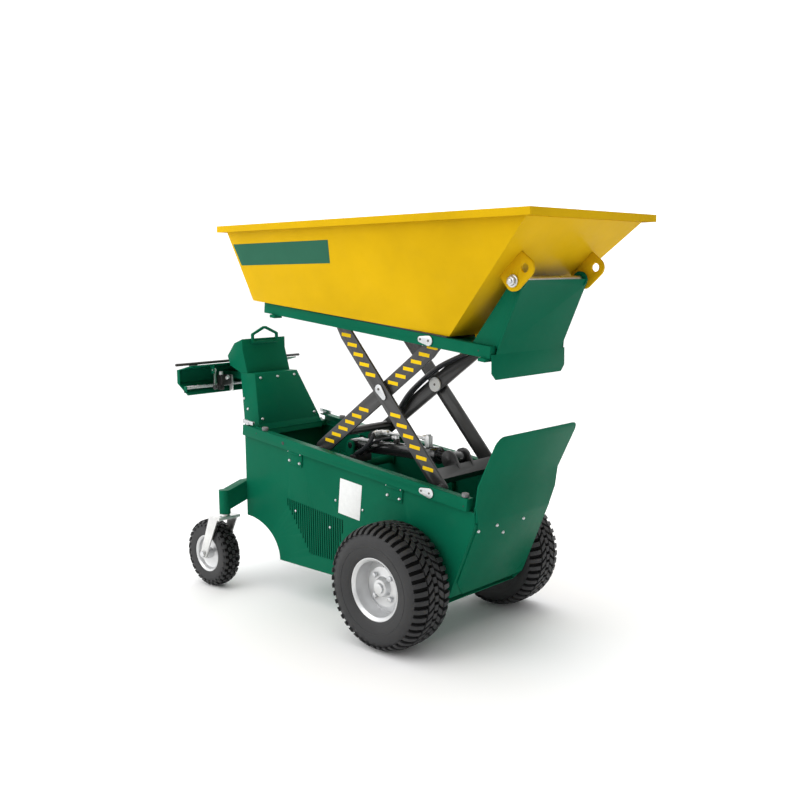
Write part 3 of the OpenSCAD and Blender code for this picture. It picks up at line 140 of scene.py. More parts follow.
def shader(name, colour, rough, metal=0.0, coat=0.0, gloss=0.5, ior=1.5):
    """A new material, its principled shader, a function that adds a node to it, and its place socket."""
    material = bpy.data.materials.new(name)
    material.use_nodes = True
    tree = material.node_tree
    principled = tree.nodes["Principled BSDF"]
    principled.inputs["Base Color"].default_value = (*colour, 1)
    principled.inputs["Roughness"].default_value = rough
    principled.inputs["Metallic"].default_value = metal
    principled.inputs["Specular IOR Level"].default_value = gloss
    principled.inputs["IOR"].default_value = ior
    principled.inputs["Coat Weight"].default_value = coat
    principled.inputs["Coat Roughness"].default_value = 0.08
    place = tree.nodes.new("ShaderNodeTexCoord").outputs["Object"]

    def add(kind, **sockets):
        made = tree.nodes.new("ShaderNode" + kind)
        for socket, value in sockets.items():
            socket = socket.replace("_", " ")
            if isinstance(value, bpy.types.NodeSocket):
                tree.links.new(value, made.inputs[socket])
            else:
                made.inputs[socket].default_value = value
        return made

    return material, principled, add, place


def tint(colour, share):
    """A colour made darker or lighter by a share."""
    return (*(min(1.0, c * share) for c in colour), 1)


def grey(value):
    """A number as a colour, for a ramp."""
    return (value, value, value, 1)


def between(add, factor, low, high, start=0.0, end=1.0):
    """Two values or colours mixed by a factor from a texture, from a start to an end of it."""
    ramp = add("ValToRGB", Fac=factor)
    ramp.color_ramp.elements[0].color = low
    ramp.color_ramp.elements[1].color = high
    ramp.color_ramp.elements[0].position = start
    ramp.color_ramp.elements[1].position = end
    return ramp


def powder_coat(name, colour, rough=0.3, coat=0.0, peel=0.05, gloss=0.5, ior=1.09):
    """Sprayed and baked paint: slow colour drift, fine orange peel and a little site dust in the gloss."""
    dust_share, dust_colour = 0.008, (0.5, 0.48, 0.44, 1)
    material, principled, add, place = shader(name, colour, rough, coat=coat, gloss=gloss, ior=ior)
    drift = add("TexNoise", Vector=place, Scale=2.6, Detail=5.0, Roughness=0.55)
    shade = between(add, drift.outputs["Fac"], tint(colour, 0.88), tint(colour, 1.1), 0.3, 0.7)
    powder = add("TexNoise", Vector=place, Scale=11.0, Detail=9.0, Roughness=0.72)
    film = between(add, powder.outputs["Fac"], grey(0), grey(dust_share), 0.5, 0.8)
    dusty = add("MixRGB", Fac=film.outputs["Color"], Color1=shade.outputs["Color"], Color2=dust_colour)
    grime = add("TexNoise", Vector=place, Scale=38.0, Detail=6.0, Roughness=0.7)
    dull = between(add, grime.outputs["Fac"], grey(rough * 0.8), grey(rough * 1.35))
    skin = add("TexNoise", Vector=place, Scale=420.0, Detail=2.0)
    bump = add("Bump", Height=skin.outputs["Fac"], Strength=peel, Distance=0.001)
    link = material.node_tree.links.new
    link(dusty.outputs["Color"], principled.inputs["Base Color"])
    link(dull.outputs["Color"], principled.inputs["Roughness"])
    link(bump.outputs["Normal"], principled.inputs["Normal"])
    return material


def ease_edges(thing, edge, segments=2, sharp=32):
    """Rolls the hard edges by a bevel and smooths the rest."""
    only(thing)
    if edge:
        bevel = thing.modifiers.new("edges", "BEVEL")
        bevel.width = edge
        bevel.segments = segments
        bevel.limit_method = "ANGLE"
        bevel.angle_limit = math.radians(30)
        bpy.ops.object.modifier_apply(modifier=bevel.name)
    bpy.ops.object.shade_smooth_by_angle(angle=math.radians(sharp))


def dress(node, material, edge=0.0012):
    """The node's own solid with its seams merged and its edges eased, shown in its place."""
    source = nodes[node]
    skin = bpy.data.objects.new(node + "_finished", source.data.copy())
    bpy.context.scene.collection.objects.link(skin)
    only(skin)
    bpy.ops.object.mode_set(mode="EDIT")
    bpy.ops.mesh.select_all(action="SELECT")
    bpy.ops.mesh.remove_doubles(threshold=1e-5)
    bpy.ops.mesh.dissolve_limited(angle_limit=math.radians(0.5))
    bpy.ops.object.mode_set(mode="OBJECT")
    bpy.ops.mesh.customdata_custom_splitnormals_clear()
    ease_edges(skin, edge)
    skin.data.materials.clear()
    skin.data.materials.append(material)
    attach(skin, source["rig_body"])
    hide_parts(node)
    return skin


def finish_piece(thing, name, body, material):
    """Names a new piece, puts its place into its mesh and lets it ride on its body."""
    only(thing)
    bpy.ops.object.transform_apply(location=True, rotation=True, scale=True)
    thing.name = name
    thing.data.materials.clear()
    thing.data.materials.append(material)
    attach(thing, body)
    return thing


def empty_mesh(name):
    """A mesh object with nothing in it, in edit mode, for primitives to be added to."""
    bpy.ops.object.select_all(action="DESELECT")
    bpy.ops.mesh.primitive_plane_add()
    thing = bpy.context.object
    thing.name = name
    bpy.ops.object.mode_set(mode="EDIT")
    bpy.ops.mesh.select_all(action="SELECT")
    bpy.ops.mesh.delete(type="VERT")
    return thing


def turned(name, parts, body, material, edge=0.0006):
    """Round or six-sided fittings of one piece: each is a start, an end, a radius and a number of sides."""
    thing = empty_mesh(name)
    for start, end, radius, count in parts:
        run = Vector(end) - Vector(start)
        bpy.ops.mesh.primitive_cylinder_add(vertices=count, radius=radius, depth=run.length,
                                            location=(Vector(start) + Vector(end)) / 2,
                                            rotation=run.to_track_quat("Z", "Y").to_euler())
    bpy.ops.object.mode_set(mode="OBJECT")
    ease_edges(thing, edge)
    return finish_piece(thing, name, body, material)


pitch = math.radians(6.3)
along_rail = Vector((math.cos(pitch), 0, -math.sin(pitch)))
above_rail = Vector((math.sin(pitch), 0, math.cos(pitch)))
low_pin = pivots["scissor_lift"]


def on_rail(pin, along, side, above=0.0):
    """A place in the pitched frame of the rails, from a pin of the scissor."""
    spot = pin + along_rail * along + above_rail * above
    return Vector((spot.x, side, spot.z))


deep_green = powder_coat("deep_green_coat", (0.003, 0.118, 0.062))
black_satin = powder_coat("black_satin_coat", (0.022, 0.021, 0.021), rough=0.42, peel=0.08, gloss=0.4,
                          ior=1.5)
both_sides = {"right": -1, "left": 1}
dress("chassis_frame", deep_green, edge=0.0016)
rail_face = 0.238
shade_disc_depth, shade_disc_edge = 0.0004, 0.0002
# Black discs on the rail faces are painted shade, standing in for the dark inside of the rail's holes.
rail_hole_shade = [(-0.792, 0.0, 0.0075), (0.168, -0.006, 0.0028), (-0.965, 0.004, 0.0028)]
for side, sign in both_sides.items():
    shade_discs = [(on_rail(low_pin, along, sign * (rail_face - shade_disc_depth), above),
              on_rail(low_pin, along, sign * (rail_face + shade_disc_depth), above), radius, 24)
             for along, above, radius in rail_hole_shade]
    turned("rail_hole_shade_" + side, shade_discs, "chassis", black_satin, edge=shade_disc_edge)


# Side panels: folded sheet hung on the rails by two hinge brackets a side, with a field of cooling slots.
# Cross wires behind the slots make them small, and dome-headed screws hold the panel to its posts.
# A blank white plate is stuck on the right panel.
def blocks(name, places, body, material, edge=0.0006):
    """Bars and plates of one piece: each place is a middle, a size and a turn about Y."""
    thing = empty_mesh(name)
    for middle, size, lean in places:
        bpy.ops.mesh.primitive_cube_add(size=1, location=middle, rotation=(0, lean, 0), scale=size)
    bpy.ops.object.mode_set(mode="OBJECT")
    ease_edges(thing, edge)
    return finish_piece(thing, name, body, material)


def dome_heads(name, places, size, body, material):
    """Dome-headed screws of a radius and height: each place is a seat and the way that the head points."""
    radius, height = size
    sunk_share = 0.2
    thing = empty_mesh(name)
    for seat, way in places:
        turn_to = Vector(way).to_track_quat("Z", "Y").to_euler()
        middle = Vector(seat) + Vector(way).normalized() * height * sunk_share
        bpy.ops.mesh.primitive_uv_sphere_add(segments=16, ring_count=8, radius=radius, location=middle,
                                             rotation=turn_to, scale=(1, 1, height / radius))
    bpy.ops.object.mode_set(mode="OBJECT")
    ease_edges(thing, 0)
    return finish_piece(thing, name, body, material)


def zinc_plate(name, colour=(0.62, 0.63, 0.64), rough=0.34, grain=90.0, metal=1.0):
    """Zinc plated steel: a soft spangle in the tone and the gloss."""
    material, principled, add, place = shader(name, colour, rough, metal=metal)
    spangle = add("TexVoronoi", Vector=place, Scale=grain)
    haze = add("TexNoise", Vector=place, Scale=24.0, Detail=5.0)
    tone = between(add, haze.outputs["Fac"], tint(colour, 0.72), tint(colour, 1.15))
    dull = between(add, spangle.outputs["Color"], grey(rough * 0.7), grey(rough * 1.4))
    link = material.node_tree.links.new
    link(tone.outputs["Color"], principled.inputs["Base Color"])
    link(dull.outputs["Color"], principled.inputs["Roughness"])
    return material


bright_zinc = zinc_plate("bright_zinc")
dark_steel = zinc_plate("dark_steel", (0.17, 0.16, 0.15), rough=0.45)
dress("panel_bolts", bright_zinc, edge=0.0006)
panel_face = 0.222
panel_screw = (0.0055, 0.0035)
screw_spots = [(-0.287, 0.377), (-0.082, 0.344), (-0.046, 0.459), (0.1045, 0.4435)]
knuckle_out = 0.009
knuckle_y = panel_face + knuckle_out
knuckle_half, knuckle_low, knuckle_r = 0.034, -0.0275, 0.0058
hinge_pin_r, hinge_pin_over = 0.0034, 0.005
bracket_places = (-0.726, -0.169)
wire_y, wire_thick, wire_high, wire_step = 0.2172, 0.0014, 0.0042, 0.0088
slot_low, slot_high = 0.208, 0.432
slot_back, slot_front = -0.362, -0.006
for side, sign in both_sides.items():
    dress("side_panel_" + side, deep_green)
    seats = [((x, sign * panel_face, z), (0, sign, 0)) for x, z in screw_spots]
    dome_heads("panel_screws_" + side, seats, panel_screw, "chassis", bright_zinc)
    knuckles, hinge_pins = [], []
    for along in bracket_places:
        back = on_rail(low_pin, along - knuckle_half, sign * knuckle_y, knuckle_low)
        front = on_rail(low_pin, along + knuckle_half, sign * knuckle_y, knuckle_low)
        over = (front - back).normalized() * hinge_pin_over
        knuckles.append((back, front, knuckle_r, 20))
        hinge_pins.append((back - over, front + over, hinge_pin_r, 16))
    turned("hinge_knuckles_" + side, knuckles, "chassis", deep_green)
    turned("hinge_pins_" + side, hinge_pins, "chassis", bright_zinc)
    wires = []
    for step in range(int((slot_high - slot_low) / wire_step)):
        middle = ((slot_back + slot_front) / 2, sign * wire_y, slot_low + step * wire_step)
        wires.append((middle, (slot_front - slot_back, wire_thick, wire_high), 0))
    blocks("slot_wires_" + side, wires, "chassis", deep_green, edge=0)

plate_white, plate_shader, plate_add, plate_place = shader("bare_plate", (0.78, 0.79, 0.78), 0.4)
plate_speck = plate_add("TexNoise", Vector=plate_place, Scale=60.0, Detail=4.0)
plate_tone = between(plate_add, plate_speck.outputs["Fac"], (0.7, 0.71, 0.7, 1), (0.84, 0.85, 0.84, 1))
plate_white.node_tree.links.new(plate_tone.outputs["Color"], plate_shader.inputs["Base Color"])
plate_middle, plate_size = (0.035, -0.2224, 0.475), (0.120, 0.0008, 0.141)
blocks("bare_plate", [(plate_middle, plate_size, pitch)], "chassis", plate_white, edge=0.0003)

# Belly pan and rear wall: flat sheet that closes the bay below and behind.
# Bent steel, coated with the frame, with a shelf above the casters.
dress("belly_pan", deep_green, edge=0.0008)
dress("rear_wall", deep_green, edge=0.0008)
shelf_back, shelf_front = -0.605, -0.384
shelf_y, shelf_z, shelf_thick = 0.217, 0.538, 0.003
shelf_middle = ((shelf_back + shelf_front) / 2, 0, shelf_z)
shelf_size = (shelf_front - shelf_back, 2 * shelf_y, shelf_thick)
blocks("bay_shelf", [(shelf_middle, shelf_size, 0)], "chassis", deep_green)

# Front shield: one sheet bent twice, leaning forward at the top to guard the wheels and the bay.
# It is bolted to tabs on the frame with dome-headed bolts, and flanges stiffen its back.
dress("front_shield", deep_green, edge=0.0014)
dress("shield_bolts", bright_zinc, edge=0.0006)
shield_foot, shield_bend = Vector((0.5275, 0, 0.190)), Vector((0.6515, 0, 0.480))
shield_slope = shield_bend - shield_foot
shield_lean = math.atan2(shield_slope.x, shield_slope.z)
flange_y, flange_wide, flange_thick, flange_rise, flange_back = 0.184, 0.075, 0.003, 0.062, 0.002
for side, sign in both_sides.items():
    slope_middle = (shield_foot + shield_bend) / 2 + Vector((0, sign * flange_y, 0))
    bend_middle = shield_bend + Vector((-flange_back, sign * flange_y, flange_rise / 2))
    flanges = [(slope_middle, (flange_thick, flange_wide, shield_slope.length), shield_lean),
               (bend_middle, (flange_thick, flange_wide, flange_rise), 0)]
    blocks("shield_flanges_" + side, flanges, "chassis", deep_green)


# Rail pads and scissor pins: the platform comes down on four rubber pads, and keeper plates hold the pins.
# Moulded grey rubber, turned steel pins with laser-cut plates, and white nylon discs at the middle.
def moulded_rubber(name, colour, rough=0.7, grain=300.0, depth=0.2, gloss=0.4):
    """Rubber or plastic with a fine moulded grain and pale patches of dust."""
    material, principled, add, place = shader(name, colour, rough, gloss=gloss)
    dust = add("TexNoise", Vector=place, Scale=14.0, Detail=8.0, Roughness=0.7)
    tone = between(add, dust.outputs["Fac"], tint(colour, 0.7), tint(colour, 1.6))
    fine = add("TexNoise", Vector=place, Scale=grain, Detail=3.0)
    bump = add("Bump", Height=fine.outputs["Fac"], Strength=depth, Distance=0.001)
    link = material.node_tree.links.new
    link(tone.outputs["Color"], principled.inputs["Base Color"])
    link(bump.outputs["Normal"], principled.inputs["Normal"])
    return material


def repaint(skin, material, picked):
    """A second finish on the faces of a piece whose middle is picked."""
    skin.data.materials.append(material)
    for face in skin.data.polygons:
        if picked(face.center):
            face.material_index = len(skin.data.materials) - 1


grey_rubber = moulded_rubber("grey_rubber", (0.16, 0.16, 0.165))
white_nylon = moulded_rubber("white_nylon", (0.80, 0.80, 0.79), rough=0.45, depth=0.05)
dress("rail_pads", grey_rubber, edge=0.002)
for node in ("lower_pins", "upper_pins", "tip_shaft"):
    dress(node, bright_zinc, edge=0.0008)
disc_outer = 0.1432
centre_pins = dress("centre_pins", bright_zinc, edge=0.0008)
repaint(centre_pins, white_nylon, lambda spot: abs(spot.y) < disc_outer)
mid_pin, high_pin = pivots["scissor_centre"], pivots["platform_pin"]
outer_way = (mid_pin - low_pin).normalized()
keeper_head, keeper_tail = 0.013, -0.025
lower_face, upper_face, centre_face, disc_face = 0.243, 0.221, 0.173, 0.137
lower_screw, upper_screw, centre_screw = (0.0042, 0.0022), (0.0045, 0.0022), (0.0052, 0.0024)
upper_body = nodes["upper_pins"]["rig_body"]
for side, sign in both_sides.items():
    out = (0, sign, 0)
    lower_spots = [(on_rail(low_pin, x, sign * lower_face), out) for x in (keeper_head, keeper_tail)]
    dome_heads("lower_keeper_screws_" + side, lower_spots, lower_screw, "chassis", dark_steel)
    upper_spots = [(on_rail(high_pin, x, sign * upper_face), out) for x in (0, keeper_tail - keeper_head)]
    dome_heads("upper_keeper_screws_" + side, upper_spots, upper_screw, upper_body, dark_steel)
    middle = mid_pin + outer_way * keeper_head
    centre_spots = [((middle.x, sign * centre_face, middle.z), out),
                    ((mid_pin.x, sign * disc_face, mid_pin.z), (0, -sign, 0))]
    dome_heads("centre_keeper_screws_" + side, centre_spots, centre_screw, "outer", dark_steel)

# Battery, power pack and drive axle: the works inside the bay.
# A moulded battery case, and a tank, pump and gearbox in black paint.
case_black = moulded_rubber("case_black", (0.03, 0.03, 0.032), rough=0.5, grain=500.0, depth=0.1)
dress("battery_box", case_black, edge=0.004)
dress("power_pack", black_satin, edge=0.003)
dress("drive_axle", black_satin, edge=0.002)

# Caster beam and forks: a cranked box beam carries a swivel housing at each end.
# The forks are pressed and welded steel, zinc plated, with a through bolt for the wheel.
dress("caster_beam", deep_green, edge=0.003)
fork_zinc = zinc_plate("fork_zinc", (0.74, 0.74, 0.73), rough=0.4, grain=140.0)
for side in both_sides:
    dress("fork_" + side, fork_zinc, edge=0.0016)
    dress("caster_bolt_" + side, bright_zinc, edge=0.0008)

# Tyres: moulded rubber with a carcass that bulges over the rim, and a tread of raised lugs.
# The drive tyres have wavy turf lugs, whose shoulders run on to the wall.
# The caster tyres have small blocks.
crown_points, wall_points = 14, 8


def section(wide, crown, widest, bead, bead_y, share):
    """Half the outer section of a tyre, from the middle of the crown to the bead, as (across, radius)."""
    tuck_share = 0.97
    line = []
    for y in [wide * i / crown_points for i in range(crown_points)] + [wide]:
        fall = max(0.0, 1 - (y / wide) ** share) ** (1 / share)
        line.append((y, widest + (crown - widest) * fall))
    for i in range(1, wall_points + 1):
        radius = widest - (widest - bead) * i / wall_points
        drop = (widest - radius) / (widest - bead) * tuck_share
        line.append((bead_y + (wide - bead_y) * math.sqrt(1 - drop * drop), radius))
    return line


def along_section(line, s):
    """The place and the outward way on a half section, at an arc length from the crown."""
    sign = -1 if s < 0 else 1
    left = abs(s)
    for (y0, r0), (y1, r1) in zip(line, line[1:]):
        step = math.hypot(y1 - y0, r1 - r0)
        if left <= step or (y1, r1) == line[-1]:
            t = left / step
            place = (sign * (y0 + (y1 - y0) * t), r0 + (r1 - r0) * t)
            return *place, sign * (r0 - r1) / step, (y1 - y0) / step
        left -= step


def carcass(name, line, hub, body, material, groove_shade, steps=96):
    """The closed section of a tyre spun about its axle, with painted shade on its crown, in the grooves
    between the lugs.
    """
    ring = [(-y, r) for y, r in reversed(line)] + line[1:]
    bpy.ops.object.select_all(action="DESELECT")
    bpy.ops.mesh.primitive_circle_add(vertices=len(ring), radius=1)
    tyre = bpy.context.object
    for vert, (y, r) in zip(tyre.data.vertices, ring):
        vert.co = Vector((0, y, r)) + hub
    bpy.ops.object.mode_set(mode="EDIT")
    bpy.ops.mesh.select_all(action="SELECT")
    bpy.ops.mesh.spin(steps=steps, angle=2 * math.pi, center=hub, axis=(0, 1, 0))
    bpy.ops.mesh.select_all(action="SELECT")
    bpy.ops.mesh.remove_doubles(threshold=1e-5)
    bpy.ops.mesh.normals_make_consistent(inside=False)
    bpy.ops.object.mode_set(mode="OBJECT")
    ease_edges(tyre, 0, sharp=40)
    finish_piece(tyre, name, body, material)
    # The crown faces, seen between the lugs, get the darker rubber: painted shade in the grooves.
    groove_share = 0.6
    shoulder = line[0][1] * groove_share + line[crown_points][1] * (1 - groove_share)
    repaint(tyre, groove_shade, lambda spot: math.hypot(spot.x - hub.x, spot.z - hub.z) > shoulder)
    return tyre


def tread(name, line, lugs, rows, height, wave, hub, body, material):
    """Lugs laid out flat for one row, repeated, then leaned into a wave and wrapped round the carcass.

    A lug has its share of a row, its place across, its length and width, and its skew.
    """
    wave_in, wave_out, wave_lean, fade = wave
    sunk_share, lug_edge = 0.5, 0.0011
    radius = line[0][1]
    row_length = 2 * math.pi * radius / rows
    lug_middle = height * (1 - sunk_share) / 2
    strip = empty_mesh(name)
    for along, across, long, wide, skew in lugs:
        bpy.ops.mesh.select_all(action="DESELECT")
        bpy.ops.mesh.primitive_cube_add(size=1, location=(along * row_length, across, lug_middle),
                                        rotation=(0, 0, skew),
                                        scale=(long, wide, height * (1 + sunk_share)))
        bpy.ops.mesh.subdivide(number_cuts=3)
    bpy.ops.object.mode_set(mode="OBJECT")
    ease_edges(strip, lug_edge, segments=1)
    repeat = strip.modifiers.new("round", "ARRAY")
    repeat.count = rows
    repeat.use_relative_offset = False
    repeat.use_constant_offset = True
    repeat.constant_offset_displace = (row_length, 0, 0)
    bpy.ops.object.modifier_apply(modifier=repeat.name)
    for vert in strip.data.vertices:
        y, r, out_y, out_r = along_section(line, vert.co.y)
        lean = wave_lean * (min(max(abs(vert.co.y), wave_in), wave_out) - wave_in)
        angle = (vert.co.x + lean) / radius
        rise = vert.co.z * (1 - fade * max(0.0, abs(vert.co.y) - wave_out))
        r += out_r * rise
        y += out_y * rise
        vert.co = Vector((r * math.sin(angle), y, r * math.cos(angle))) + hub
    ease_edges(strip, 0, sharp=30)
    return finish_piece(strip, name, body, material)


def wall_rings(name, line, radii, thick, hub, body, material):
    """Moulded rings on both walls of a tyre."""
    proud_share = 0.4
    thing = empty_mesh(name)
    for ring in radii:
        y = min(line[crown_points - 2:], key=lambda p: abs(p[1] - ring))[0]
        for sign in (-1, 1):
            middle = hub + Vector((0, sign * (y - thick * proud_share), 0))
            bpy.ops.mesh.primitive_torus_add(major_segments=96, minor_segments=8, major_radius=ring,
                                             minor_radius=thick, rotation=(math.pi / 2, 0, 0),
                                             location=middle)
    bpy.ops.object.mode_set(mode="OBJECT")
    ease_edges(thing, 0, sharp=60)
    return finish_piece(thing, name, body, material)


tyre_black = moulded_rubber("tyre_black", (0.019, 0.019, 0.020), rough=0.55, grain=260.0, depth=0.25)
# The same rubber made darker and duller: painted shade for the grooves between the lugs.
painted_groove_shade = moulded_rubber("painted_groove_shade", (0.004, 0.004, 0.004), rough=0.8, grain=260.0, depth=0.1,
                              gloss=0.1)
drive_line = section(wide=0.0925, crown=0.2185, widest=0.176, bead=0.107, bead_y=0.063, share=3.0)
turf_rise, turf_rows = 0.010, 44
turf_wave = (0.0115, 0.0370, 0.75, 5.0)
turf_lugs = [(0.0, 0.0, 0.0205, 0.0185, 0)]
for sign in (-1, 1):
    turf_lugs += [(0.36, sign * 0.0240, 0.0205, 0.0235, 0), (0.50, sign * 0.0655, 0.0165, 0.0490, 0)]
ring_radii, ring_thick = (0.126, 0.158), 0.0018
for side in both_sides:
    hub = pivots["drive_wheel_" + side]
    body = "wheel_" + side
    tyre = carcass("drive_tyre_" + side, drive_line, hub, body, tyre_black, painted_groove_shade)
    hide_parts("tyre_" + side)
    tread("turf_tread_" + side, drive_line, turf_lugs, turf_rows, turf_rise, turf_wave, hub, body,
          tyre_black)
    wall_rings("wall_rings_" + side, drive_line, ring_radii, ring_thick, hub, body, tyre_black)

caster_line = section(wide=0.0400, crown=0.1400, widest=0.112, bead=0.077, bead_y=0.033, share=2.6)
block_rise, block_rows = 0.005, 28
block_wave = (0.0, 0.05, 0.0, 0.0)
block_skew = 0.2
block_lugs = [(0.25, 0.0, 0.017, 0.012, block_skew), (0.75, 0.0, 0.006, 0.012, block_skew)]
for sign in (-1, 1):
    block_lugs += [(0.75, sign * 0.0155, 0.017, 0.012, -sign * block_skew),
                   (0.25, sign * 0.0320, 0.017, 0.0135, sign * block_skew),
                   (0.75, sign * 0.0460, 0.014, 0.0080, 0)]
for side in both_sides:
    hub = pivots["caster_roll_" + side]
    body = "caster_" + side
    tyre = carcass("caster_tread_base_" + side, caster_line, hub, body, tyre_black, painted_groove_shade, steps=72)
    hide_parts("caster_tyre_" + side)
    tread("block_tread_" + side, caster_line, block_lugs, block_rows, block_rise, block_wave, hub, body,
          tyre_black)

# Rims: pressed steel dishes in silver paint, with four plated nuts round a capped hub.
# A black rubber valve stands in the dish.
rim_silver = powder_coat("rim_silver", (0.60, 0.605, 0.61), coat=0.2, peel=0.04, ior=1.5)
rim_silver.node_tree.nodes["Principled BSDF"].inputs["Metallic"].default_value = 0.75
valve_reach, valve_wide = 0.088, 0.0085
for side in both_sides:
    valve_spot = pivots["drive_wheel_" + side] + Vector((0, 0, valve_reach))
    rim = dress("rim_" + side, rim_silver)
    repaint(rim, case_black,
            lambda spot: math.hypot(spot.x - valve_spot.x, spot.z - valve_spot.z) < valve_wide)
    dress("wheel_nuts_" + side, bright_zinc)
    dress("caster_rim_" + side, rim_silver)


# Console: a leaning sheet tower with a bolted cover and its apron, and a hood with a lifting loop.
# A guard, open at its ends, holds the knurled hand bar and the valves that two black-knobbed levers work.
# The bail above the bar is the dead-man switch.
def on_face(node, start, way):
    """Where a straight line meets a node's surface, and which way the surface faces there."""
    mesh = nodes[node].data
    surface = BVHTree.FromPolygons([v.co for v in mesh.vertices], [p.vertices[:] for p in mesh.polygons])
    spot, facing, _, _ = surface.ray_cast(Vector(start), Vector(way))
    return spot, facing


def mirrored(spot, sign):
    """A place given for the left side, on the side of a sign."""
    return (spot[0], sign * spot[1], spot[2])


for node, edge in (("console_tower", 0.0014), ("tower_cover", 0.0008), ("console_hood", 0.0016),
                   ("loop_handle", 0.003)):
    dress(node, deep_green, edge=edge)
guard = dress("hand_guard", deep_green, edge=0)
guard_end, end_thick, cut_over = 0.300, 0.004, 0.0002
end_opening = [(-0.965, 0.8545), (-0.9045, 0.8155), (-0.895, 0.800), (-0.862, 0.800), (-0.862, 0.9405),
               (-0.8725, 0.9405), (-0.965, 0.9185)]
for sign in (-1, 1):
    bpy.ops.object.select_all(action="DESELECT")
    bpy.ops.mesh.primitive_circle_add(vertices=len(end_opening), fill_type="NGON")
    cutter = bpy.context.object
    for vert, (x, z) in zip(cutter.data.vertices, end_opening):
        vert.co = (x, sign * (guard_end - end_thick - cut_over), z)
    bpy.ops.object.mode_set(mode="EDIT")
    bpy.ops.mesh.select_all(action="SELECT")
    bpy.ops.mesh.extrude_region_move(TRANSFORM_OT_translate={"value": (0, sign * end_thick * 2, 0)})
    bpy.ops.mesh.select_all(action="SELECT")
    bpy.ops.mesh.normals_make_consistent(inside=False)
    bpy.ops.object.mode_set(mode="OBJECT")
    only(guard)
    opening = guard.modifiers.new("opening", "BOOLEAN")
    opening.object = cutter
    bpy.ops.object.modifier_apply(modifier=opening.name)
    bpy.data.objects.remove(cutter)
ease_edges(guard, 0.0008)
tab_x, tab_z, tab_size = -0.925, 0.836, (0.020, end_thick, 0.030)
bar_tabs = [((tab_x, sign * (guard_end - end_thick / 2), tab_z), tab_size, 0) for sign in (-1, 1)]
blocks("hand_bar_tabs", bar_tabs, "chassis", deep_green, edge=0.0008)
dress("cover_bolts", bright_zinc, edge=0.0006)
apron_middle, apron_size, cover_lean = (-0.563, 0, 0.678), (0.003, 0.346, 0.054), -0.4003
blocks("cover_apron", [(apron_middle, apron_size, cover_lean)], "chassis", deep_green)
dress("dead_man_bar", black_satin)
pale_zinc = zinc_plate("pale_zinc", (0.80, 0.80, 0.80), rough=0.36, grain=140.0, metal=0.6)
knob_top = 0.024
tower_bolt = (0.0065, 0.004)
tower_bolt_spots = [(-0.703, 0.800), (-0.664, 0.758)]
valve_parts = [((-0.900, 0.106, 0.866), (0.036, 0.052, 0.046)),
               ((-0.904, 0.124, 0.834), (0.024, 0.026, 0.026))]
spool_parts = [((-0.884, 0.106, 0.874), (-0.868, 0.106, 0.882), 0.008, 20),
               ((-0.900, 0.122, 0.889), (-0.900, 0.122, 0.906), 0.010, 6)]
mount_middle, mount_size = (-0.893, 0.072, 0.850), (0.026, 0.004, 0.074)
for side, sign in both_sides.items():
    seats = [on_face("console_tower", (x, sign, z), (0, -sign, 0)) for x, z in tower_bolt_spots]
    dome_heads("tower_bolts_" + side, seats, tower_bolt, "chassis", bright_zinc)
    knob_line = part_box("lever_" + side)[0].z + knob_top
    repaint(dress("lever_" + side, bright_zinc), case_black, lambda spot: spot.z < knob_line)
    dress("wing_latch_" + side, bright_zinc, edge=0.0025)
    valve_blocks = [(mirrored(middle, sign), size, 0) for middle, size in valve_parts]
    blocks("valve_body_" + side, valve_blocks, "chassis", black_satin, edge=0.004)
    spools = [(mirrored(start, sign), mirrored(end, sign), radius, count)
              for start, end, radius, count in spool_parts]
    turned("valve_spools_" + side, spools, "chassis", pale_zinc, edge=0.001)
    mount = [(mirrored(mount_middle, sign), mount_size, 0)]
    blocks("valve_plate_" + side, mount, "chassis", pale_zinc, edge=0.0008)

bar_low, bar_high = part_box("hand_bar")
bar_middle = (bar_low + bar_high) / 2
bar_rib, rib_edge_share = 0.0055, 0.3
bpy.ops.object.select_all(action="DESELECT")
bpy.ops.mesh.primitive_cylinder_add(vertices=20, radius=(bar_high.z - bar_low.z) / 2, depth=bar_rib,
                                    location=(bar_middle.x, bar_low.y + bar_rib / 2, bar_middle.z),
                                    rotation=(math.pi / 2, 0, 0))
hand_bar = bpy.context.object
bpy.ops.object.transform_apply(location=True, rotation=True, scale=True)
ease_edges(hand_bar, bar_rib * rib_edge_share, segments=1, sharp=20)
ribs = hand_bar.modifiers.new("ribs", "ARRAY")
ribs.count = int((bar_high.y - bar_low.y) / bar_rib)
ribs.use_relative_offset = False
ribs.use_constant_offset = True
ribs.constant_offset_displace = (0, bar_rib, 0)
bpy.ops.object.modifier_apply(modifier=ribs.name)
finish_piece(hand_bar, "knurled_hand_bar", "chassis", bright_zinc)
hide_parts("hand_bar")

# Scissor: two outer and two inner arms cut from flat bar, joined at the middle and painted black.
# Yellow hazard dashes lie level along the outer faces, and rollers run in the rails.
arm_black = powder_coat("arm_black_coat", (0.026, 0.025, 0.025), rough=0.36, coat=0.15, peel=0.06, ior=1.5)
dress("outer_arms", arm_black, edge=0.0014)
dress("inner_arms", arm_black, edge=0.0014)
dress("upper_rollers", bright_zinc, edge=0.001)
dress("lower_rollers", bright_zinc, edge=0.001)
signal_yellow = powder_coat("signal_yellow", (0.83, 0.54, 0.012), rough=0.45, peel=0.02)
inner_way = (high_pin - mid_pin).normalized()
inner_foot = mid_pin - inner_way * (mid_pin - low_pin).length
dash_size = (0.051, 0.0005, 0.0135)
dash_step, dash_count = 0.0485, 6
outer_face, inner_face = 0.168, 0.153
arm_dashes = {"outer": (outer_face, low_pin, outer_way, (0.087, 0.522)),
              "inner": (inner_face, inner_foot, inner_way, (0.0636, 0.500))}
